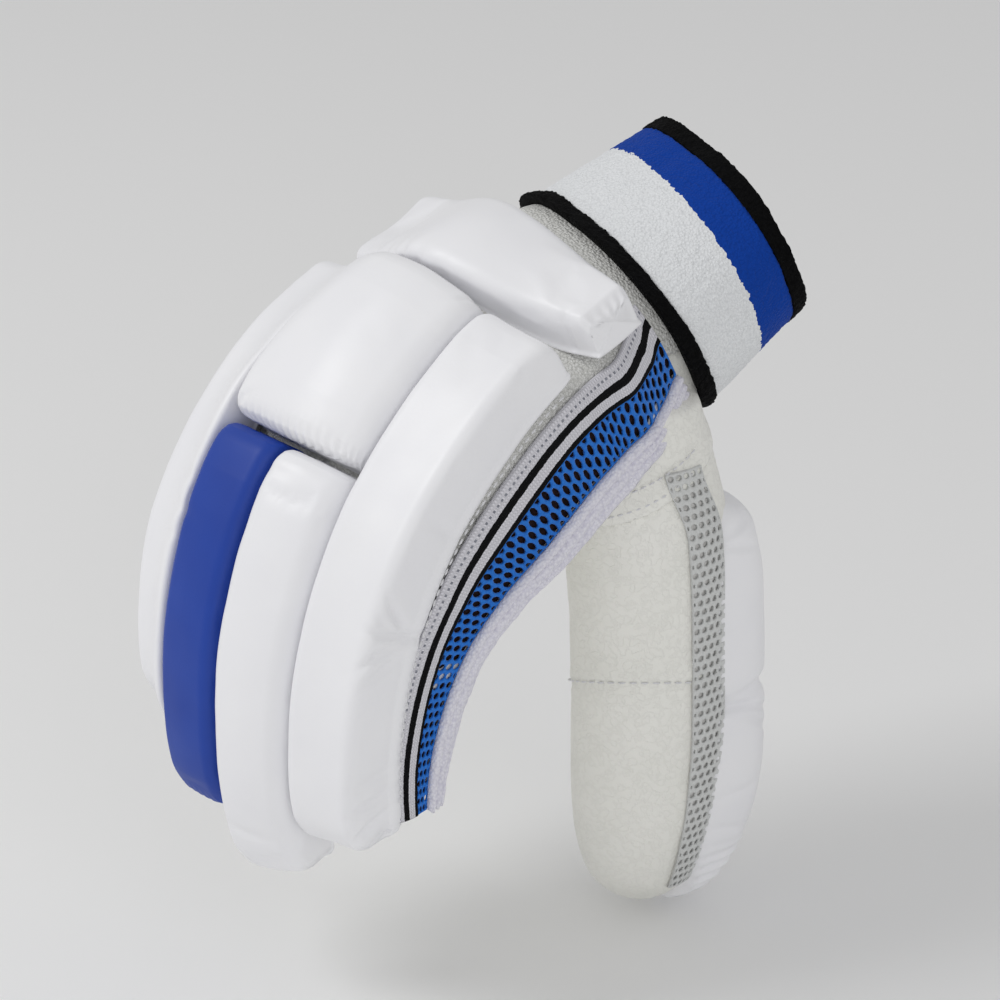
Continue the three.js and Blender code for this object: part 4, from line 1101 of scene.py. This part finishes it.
# Soft dents in the wrist roll's front face: place and width in mm across the hand, depth in mm
WRIST_DENTS = (
    (-27, 2.2, 0.5), (-20, 1.8, 0.6), (-12, 2.0, 0.6), (-4, 2.2, 0.5), (6, 2.4, 0.3), (44, 1.2, 0.5),
)


def wrist_roll():
    """The bolster across the wrist end of the back."""
    across = np.concatenate([
        np.linspace(-1.02, -0.9, 10), np.linspace(-0.88, 0.9, 70), np.linspace(0.92, 1.05, 12)])
    low = smooth(WRIST_ROLL["across"], WRIST_ROLL["from"], across)
    high = smooth(WRIST_ROLL["across"], WRIST_ROLL["to"], across)
    up = smooth(WRIST_ROLL["across"], WRIST_ROLL["up"], across) * WRIST_ROLL_THICKNESS
    p_across, p_up = profile(60, 15.0, WRIST_ROLL_THICKNESS)
    t = np.concatenate([0.5 + 0.5 * p_across, [0.02, 0.35, 0.65, 0.98]])
    d = np.concatenate([p_up, [0, 0, 0, 0]])
    share = low[:, None] + (high - low)[:, None] * t[None, :]
    down = np.where(d[None, :] > 0, -up[:, None] * d[None, :], 0.6)
    x = np.repeat((across * HAND_HALF_WIDTH)[:, None], len(t), 1)
    rings = hand_point(share, x, down)
    top = np.append(down.ravel(), [0, 0]) < PAD_TOP
    flat_x = np.append(x.ravel(), [x[0, 0], x[-1, 0]])
    front = np.append(np.repeat(t[None, :], len(across), 0).ravel(), [0.5, 0.5])
    obj, fine = padded_body("wrist_roll_pad", rings, top, (flat_x, front, top), (-60, 60))
    flat_x, front, soft_top = fine.T
    depth = np.zeros(len(fine))
    for place, width, amount in WRIST_DENTS:
        depth += amount * bump(flat_x, place, width) * ease(0.72, 0.98, front)
    depth += 0.35 * (0.5 + 0.5 * np.sin(front * 34)) * ease(49, 52, flat_x)
    soft = lumps(unrow(points_of(obj)), (0.2, 17, 12), (0.08, 6, 13))
    push(obj, (soft - depth) * soft_top)
    finish_piece(obj, ["wrist_roll"], WHITE_PU)


wrist_roll()


# Folds of the thumb's pad: share of its length, degrees round it, mm of slant for each degree, and their
# length in degrees, width and depth in mm
PAD_FOLDS = (
    (0.48, 78, 0.0, 30, 1.7, 1.9), (0.45, 62, 0.06, 30, 1.3, 1.2), (0.5, 58, -0.09, 32, 1.4, 1.3),
    (0.54, 52, -0.16, 28, 1.5, 0.9), (0.04, 62, 0.1, 28, 1.4, 1.3), (0.09, 70, -0.05, 20, 1.3, 1.0),
    (0.7, 70, 0.05, 24, 1.6, 0.6), (0.8, 70, -0.08, 24, 1.5, 0.8),
)


def thumb_pad():
    """The pad on the thumb's back, pinched across the joint and gathered at the tip."""
    s = np.concatenate([np.linspace(0, 0.1, 14), np.linspace(0.11, 0.86, 80), np.linspace(0.87, 1.0, 24)])
    start = (THUMB_LENGTH - THUMB_PAD_LENGTH) / THUMB_LENGTH
    share = start + (1.006 - start) * s
    reach = THUMB_PAD_REACH * smooth(THUMB_PAD["share"], THUMB_PAD["reach"], s)
    reach *= 1 - 0.06 * bump(s, 0.45, 0.02)
    half = THUMB_PAD_HALF_WIDTH * smooth(THUMB_PAD["share"], THUMB_PAD["width"], s)
    half *= 1 - 0.03 * bump(s, 0.45, 0.02)
    foot = np.minimum(THUMB_HALF_DEPTH * 0.46, reach * 0.5)
    angle = np.radians(np.linspace(-90, 90, 56))
    up = np.cos(angle) ** 0.55
    side = np.sign(angle) * np.abs(np.sin(angle)) ** 0.75
    back = foot[:, None] + (reach - foot)[:, None] * up[None, :]
    out = half[:, None] * side[None, :]
    back = np.concatenate([back, np.stack([foot * 0.6] * 3, 1)], 1)
    out = np.concatenate([out, half[:, None] * np.array([[0.6, 0.0, -0.6]])], 1)
    share = np.repeat(share[:, None], back.shape[1], 1)
    top = np.append((back > foot[:, None] * 1.15).ravel(), [False, False])
    flat_s = np.append(np.repeat(s[:, None], back.shape[1], 1).ravel(), [0, 1])
    full_angle = np.concatenate([angle, np.radians([60, 0, -60])])
    flat_angle = np.append(np.repeat(full_angle[None, :], len(s), 0).ravel(), [0, 0])
    obj, fine = padded_body("thumb_pad_cover", thumb_point(share, back, out), top,
                            (flat_s, np.degrees(flat_angle), top), (0, 1))
    along, off_middle, soft_top = fine[:, 0], np.abs(fine[:, 1]), fine[:, 2]
    depth = np.zeros(len(fine))
    for place, turn, slant, length, width, amount in PAD_FOLDS:
        off = (along - place) * THUMB_PAD_LENGTH - (off_middle - turn) * slant
        depth += amount * np.exp(-(off / width) ** 2 - ((off_middle - turn) / length) ** 2)
    turns = along * THUMB_PAD_LENGTH * 2 * math.pi / TIP_GATHER_STEP
    gather = 0.5 + 0.5 * np.cos(turns - off_middle * 0.03)
    depth += TIP_GATHER_DEPTH * gather * ease(0.8, 0.92, along) * ease(5, 45, off_middle)
    soft = lumps(unrow(points_of(obj)), (0.3, 16, 14), (0.12, 6, 15))
    push(obj, (soft - depth) * soft_top)
    finish_piece(obj, ["thumb_pad"], WHITE_PU)


TIP_GATHER_STEP = 3.8
TIP_GATHER_DEPTH = 1.4
thumb_pad()


# strips along the sides
def side_point(share, around, out, sign):
    """A point of the hand's side: around is 0 at the back's edge and 1 at the palm's."""
    share, around = as_floats(share, around)
    depth = hand_depth(share)
    rounding = hand(share, "round")
    half = hand_half_width(share)
    ry = np.minimum(FINGER_CORNER, depth * 0.42)
    ry = ry + (depth * 0.485 - ry) * rounding
    narrow = min(FINGER_CORNER, (FINGER_PITCH / 2 - CLEARANCE) * 0.85)
    rx = narrow + (half * 0.97 - narrow) * rounding
    outer = half - CLEARANCE * np.minimum(1, share / 0.47)
    down = around * depth
    top = np.arccos(np.clip((ry - down) / ry, -1, 1))
    low = np.arccos(np.clip((down - depth + ry) / ry, -1, 1))
    x = np.where(down < ry, outer - rx + np.sin(top) * (rx + out),
                 np.where(down > depth - ry, outer - rx + np.sin(low) * (rx + out), outer + out))
    shift = np.where(down < ry, -np.cos(top) * out, np.where(down > depth - ry, np.cos(low) * out, 0))
    return hand_point(share, sign * x, down + shift)


def band_grid(bands, from_key, to_key, along, across, out, sign):
    """A grid of points over a band of the side between two rows of its table, with uv pairs."""
    u = np.linspace(0, 1, along)
    v = np.linspace(0, 1, across)
    share = bands["share"][0] + (bands["share"][-1] - bands["share"][0]) * u
    depth = hand_depth(share)
    low = smooth(bands["share"], bands[from_key], share) + CLEARANCE / 2 / depth
    high = smooth(bands["share"], bands[to_key], share) - CLEARANCE / 2 / depth
    around = low[:, None] + (high - low)[:, None] * v[None, :]
    grid = side_point(np.repeat(share[:, None], across, 1), around, out, sign)
    uv = np.stack([np.repeat(v[None, :], along, 0),
                   np.repeat((share * HAND_LENGTH * 0.001)[:, None], across, 1)], -1)
    return grid, uv


def strip(name, node, bands, from_key, to_key, along, across, sign, material, wall=1.3):
    """A strip of cloth over a band of the side."""
    outer, uv = band_grid(bands, from_key, to_key, along, across, STRIP_SEAT + wall, sign)
    inner, _ = band_grid(bands, from_key, to_key, along, across, STRIP_SEAT, sign)
    obj = shell(name, outer, inner, uvs=uv)
    return finish_piece(obj, [node], material)


strip("side_tape_knit", "side_tape", SIDE_BANDS, "tape", "net", 180, 16, 1, TAPE)
TERRY_ROWS = 300
TERRY_COLUMNS = 40
TERRY_PLEATS = 2.5
TERRY_PLEAT_DEPTH = 1.3
terry = strip("side_terry_edge", "side_terry", SIDE_BANDS, "terry", "end", TERRY_ROWS, TERRY_COLUMNS, 1,
              TERRY, wall=1.8)
terry_co = unrow(points_of(terry))
outside = np.arange(len(terry_co)) < TERRY_ROWS * TERRY_COLUMNS
across = np.tile(np.linspace(0, 1, TERRY_COLUMNS), 2 * TERRY_ROWS)
pleat = TERRY_PLEAT_DEPTH * np.abs(np.sin(math.pi * TERRY_PLEATS * across)) ** 0.6
push(terry, np.where(outside, pleat + lumps(terry_co, (0.13, 1.3, 31), (0.2, 6, 32)), 0))
strip("outer_gusset_fabric", "outer_gusset", GUSSET_BANDS, "from", "to", 120, 20, -1,
      PIMPLED)


def net_piece(name, node, surface, holes, cell, hole, material):
    """Open knit with staggered holes cut through. surface gives outer and inner grids for lists of shares, holes
    is how many there are along and across, cell the steps of one hole's cell, hole its half size in steps."""
    rows, columns = holes[0] * cell[0] + 1, holes[1] * cell[1] + 1
    outer, inner = surface(np.linspace(0, 1, rows), np.linspace(0, 1, columns))
    i, j = np.meshgrid(np.arange(rows - 1), np.arange(columns - 1), indexing="ij")
    shift = (i // cell[0] % 2) * (cell[1] // 2)
    along = (i % cell[0]) + 0.5 - cell[0] / 2
    across = ((j + shift) % cell[1]) + 0.5 - cell[1] / 2
    open_cell = np.abs(along / hole[0]) ** 1.5 + np.abs(across / hole[1]) ** 1.5 < 1
    border = (j < 1) | (j > columns - 3) | (i < 2) | (i > rows - 4)
    solid = ~(open_cell & ~border)
    count = rows * columns
    faces = []
    for a, b in np.argwhere(solid):
        q = [a * columns + b, a * columns + b + 1, (a + 1) * columns + b + 1, (a + 1) * columns + b]
        faces.append(tuple(q))
        faces.append(tuple(v + count for v in reversed(q)))
        beside = ((a - 1, b, 1, 0), (a, b + 1, 2, 1), (a + 1, b, 3, 2), (a, b - 1, 0, 3))
        for r, c, first, second in beside:
            if r < 0 or c < 0 or r >= rows - 1 or c >= columns - 1 or not solid[r, c]:
                faces.append((q[first], q[second], q[second] + count, q[first] + count))
    verts = np.concatenate([outer.reshape(-1, 3), inner.reshape(-1, 3)])
    used = np.unique(np.array(faces).ravel())
    remap = -np.ones(len(verts), int)
    remap[used] = np.arange(len(used))
    faces = [tuple(remap[v] for v in f) for f in faces]
    obj = make(name, verts[used], outward(verts[used], faces))
    obj = applied(obj, "SMOOTH", factor=0.5, iterations=3)
    return finish_piece(obj, [node], material)


def side_surface(low, high):
    """The side net's band between two heights over the skin."""
    def surface(u, v):
        share = SIDE_BANDS["share"][0] + (SIDE_BANDS["share"][-1] - SIDE_BANDS["share"][0]) * u
        first = smooth(SIDE_BANDS["share"], SIDE_BANDS["net"], share)[:, None]
        last = smooth(SIDE_BANDS["share"], SIDE_BANDS["terry"], share)[:, None]
        around = first + (last - first) * v[None, :]
        wide = np.repeat(share[:, None], len(v), 1)
        return side_point(wide, around, high, 1), side_point(wide, around, low, 1)
    return surface


def thumb_surface(low, high):
    """The thumb's net strip between two heights over its sleeve."""
    def surface(u, v):
        share = np.repeat((THUMB_NET_FROM + (THUMB_NET_TO - THUMB_NET_FROM) * u)[:, None], len(v), 1)
        slant = THUMB_NET_SLANT * ease(THUMB_NET_FROM + 0.12, THUMB_NET_FROM, share)
        angle = np.radians(THUMB_NET_BACK + (THUMB_NET_FRONT - THUMB_NET_BACK) * v)[None, :]
        angle = angle + np.radians(slant)
        return thumb_skin(share, angle, high), thumb_skin(share, angle, low)
    return surface


def backing(name, node, surface, material):
    """A plain layer right under a net, a sheet of painted shade for the glove's inside seen through the holes.
    """
    outer, inner = surface(np.linspace(0, 1, 120), np.linspace(0.02, 0.98, 8))
    return finish_piece(shell(name, outer, inner), [node], material)


THUMB_NET_FROM = 0.1
THUMB_NET_TO = 0.95
THUMB_NET_BACK = 52
THUMB_NET_FRONT = 84
THUMB_NET_SLANT = 8
THUMB_NET_HEIGHTS = (0.6, 1.5)
net_piece("side_net_knit", "side_mesh", side_surface(STRIP_SEAT + 0.2, STRIP_SEAT + 1.1), (58, 3), (12, 10),
          (4.6, 4.2), BLUE_NET)
# painted shade: a dark sheet under the side net stands for the shade inside the glove seen through its holes
backing("side_net_shade_sheet", "side_mesh", side_surface(0.1, 0.5), SHADE)
net_piece("thumb_net_knit", "thumb_mesh", thumb_surface(*THUMB_NET_HEIGHTS), (46, 5), (10, 6), (3.6, 1.9),
          PALE_NET)
# painted shade: a pale grey sheet under the thumb's net stands for the shade seen through its holes
backing("thumb_net_shade_sheet", "thumb_mesh", thumb_surface(0.15, 0.45), PALE_SHADE)


def grid_size(grid):
    """Greatest width and length of a grid of points, in metres."""
    length = np.linalg.norm(np.diff(grid, axis=0), axis=2).sum(0).max()
    width = np.linalg.norm(np.diff(grid, axis=1), axis=2).sum(1).max()
    return width * 0.001, length * 0.001


# Narrowest width a strip is cut to before its edges are turned in, in metres
LEAST_CUT = 0.0101


def declare_strip(grid):
    """Works out the width and length of a strip's cut from its grid, the width at least LEAST_CUT."""
    width, length = grid_size(grid)
    width = max(width, LEAST_CUT)


for piece, bands, from_key, to_key, sign in (
        ("side_tape_knit", SIDE_BANDS, "tape", "net", 1),
        ("side_net_knit", SIDE_BANDS, "net", "terry", 1),
        ("side_terry_edge", SIDE_BANDS, "terry", "end", 1),
        ("outer_gusset_fabric", GUSSET_BANDS, "from", "to", -1)):
    strip_grid = band_grid(bands, from_key, to_key, 60, 20, STRIP_SEAT, sign)[0]
    declare_strip(strip_grid)
thumb_outer = thumb_surface(*THUMB_NET_HEIGHTS)(np.linspace(0, 1, 60), np.linspace(0, 1, 12))[0]
declare_strip(thumb_outer)


# the cuff
CUFF_SHORT = 0.12
CUFF_STRIPE_SHIFT = 3.0
CUFF_RING_POINTS = 400
HEEL_DIRECTION = np.array([0.9421, 0.5149, -0.9205])
heel_side = HEEL_DIRECTION - cuff_axis * np.dot(HEEL_DIRECTION, cuff_axis)
heel_side /= np.linalg.norm(heel_side)


def nearness(ring):
    """0 on the side away from the thumb's heel and 1 on it, for each point of a ring."""
    radial = ring - seam_middle
    radial = radial - (radial @ cuff_axis)[:, None] * cuff_axis
    return 0.5 + 0.5 * (radial @ heel_side) / np.linalg.norm(radial, axis=1)


def cuff_ring(distance, grow):
    """A ring of the cuff at a distance from its seam; it is a little shorter on the heel's side."""
    share = max(0.0, -distance) / HAND_LENGTH
    half = float(hand_half_width(share))
    ring = section(share, -half, half, grow, 1, 24, 20)
    if distance <= 0:
        return ring
    on = distance / OPENING_AT
    out = ring - seam_middle
    away = np.clip(-out[:, :1], 0, None) / (half * 0.88)
    out = out * (1 + WRIST_PINCH * on * away)
    taper = 1 + (CUFF_TAPER - 1) * on
    reach = distance * (1 - CUFF_SHORT * nearness(ring) ** 2)
    return out * taper + seam_middle + cuff_axis * reach[:, None]


def even_ring(ring, count):
    """The ring with its points evenly spaced along it."""
    closed = np.concatenate([ring, ring[:1]])
    length = np.concatenate([[0], np.cumsum(np.linalg.norm(np.diff(closed, axis=0), axis=1))])
    at = np.linspace(0, length[-1], count, endpoint=False)
    return np.stack([np.interp(at, length, closed[:, k]) for k in range(3)], 1)


def cuff_piece(name, node, low, high, wall, material, rows, relief=0.35):
    """One band of the cuff between two heights, returned with its girth and height in metres."""
    heights = np.linspace(low, high, rows)
    outer, inner = (np.array([even_ring(cuff_ring(h, grow), CUFF_RING_POINTS) for h in heights])
                    for grow in (CLEARANCE + wall, CLEARANCE))
    shift = CUFF_STRIPE_SHIFT * nearness(outer[0]) ** 1.5
    around = np.repeat(np.linspace(0, 1, CUFF_RING_POINTS)[None, :], rows, 0)
    uv = np.stack([around, (heights[:, None] + shift[None, :]) * 0.001], -1)
    obj = shell(name, outer, inner, closed=True, uvs=uv)
    co = unrow(points_of(obj))
    loops = lumps(co, (0.5, 1.2, 21), (0.3, 0.7, 22), (0.8, 11, 23))
    outside = np.arange(len(co)) < rows * CUFF_RING_POINTS
    push(obj, np.where(outside, loops * relief, 0))
    finish_piece(obj, [node], material)
    ring = np.concatenate([outer, outer[:, :1]], 1)
    girth = np.linalg.norm(np.diff(ring, axis=1), axis=2).sum(1).mean()
    return obj, (girth * 0.001, (high - low) * 0.001)


BAND_WALL = CUFF_WALL + CUFF_BAND_PROUD
UPPER_BAND = 5.2
UPPER_AT = OPENING_AT - UPPER_BAND
UPPER_WALL = CUFF_WALL + 0.4
lower_size = cuff_piece("cuff_lower_edge", "wristband_lower_edge", -CUFF_OVERLAP, 0, BAND_WALL,
                        BLACK_KNIT, 12, relief=0.7)[1]
towelling, towelling_size = cuff_piece("cuff_towelling", "wristband", CLEARANCE, UPPER_AT - CLEARANCE,
                                       CUFF_WALL, CUFF, 70)
upper_size = cuff_piece("cuff_upper_edge", "wristband_upper_edge", UPPER_AT, OPENING_AT, UPPER_WALL,
                        BLACK_KNIT, 16, relief=0.5)[1]

bpy.data.objects.remove(skin)


# floor, light and camera
def plain(name, colour):
    """A matt material of one colour."""
    return Nodes(name, 0.8).done(colour)


mesh = bpy.data.meshes.new("floor")
size = 3.0
floor_z = -0.1875
corners = ((-size, -size), (size, -size), (size, size), (-size, size))
mesh.from_pydata([(x, y, floor_z) for x, y in corners], [], [(0, 1, 2, 3)])
floor = bpy.data.objects.new("floor", mesh)
bpy.context.scene.collection.objects.link(floor)
floor.data.materials.append(plain("floor", (0.93, 0.93, 0.93, 1)))

world = bpy.data.worlds.new("studio")
world.use_nodes = True
world.node_tree.nodes["Background"].inputs[0].default_value = (1, 1, 1, 1)
world.node_tree.nodes["Background"].inputs[1].default_value = 0.5
bpy.context.scene.world = world


def area_light(name, place, target, size, power):
    data = bpy.data.lights.new(name, "AREA")
    data.size = size
    data.energy = power
    obj = bpy.data.objects.new(name, data)
    obj.location = place
    obj.rotation_euler = (Vector(target) - Vector(place)).to_track_quat("-Z", "Y").to_euler()
    bpy.context.scene.collection.objects.link(obj)
    return obj


area_light("key", (-0.55, -0.95, 1.0), (-0.02, -0.08, -0.08), 0.6, 6.5)
area_light("fill", (1.2, -0.6, 0.5), (-0.02, -0.08, -0.08), 0.9, 2.4)

aim = np.array([-0.0371, -0.0546, -0.0847])
toward = np.array([0.7051, -0.5917, 0.3907])
camera_data = bpy.data.cameras.new("camera")
camera_data.lens = 36 * 1300 / 285
camera_data.sensor_width = 36
camera_data.clip_end = 20
camera = bpy.data.objects.new("camera", camera_data)
camera.location = Vector(aim + toward * 1.3)
camera.rotation_euler = Vector(-toward).to_track_quat("-Z", "Y").to_euler()
bpy.context.scene.collection.objects.link(camera)
bpy.context.scene.camera = camera
bpy.context.scene.view_settings.view_transform = "Standard"
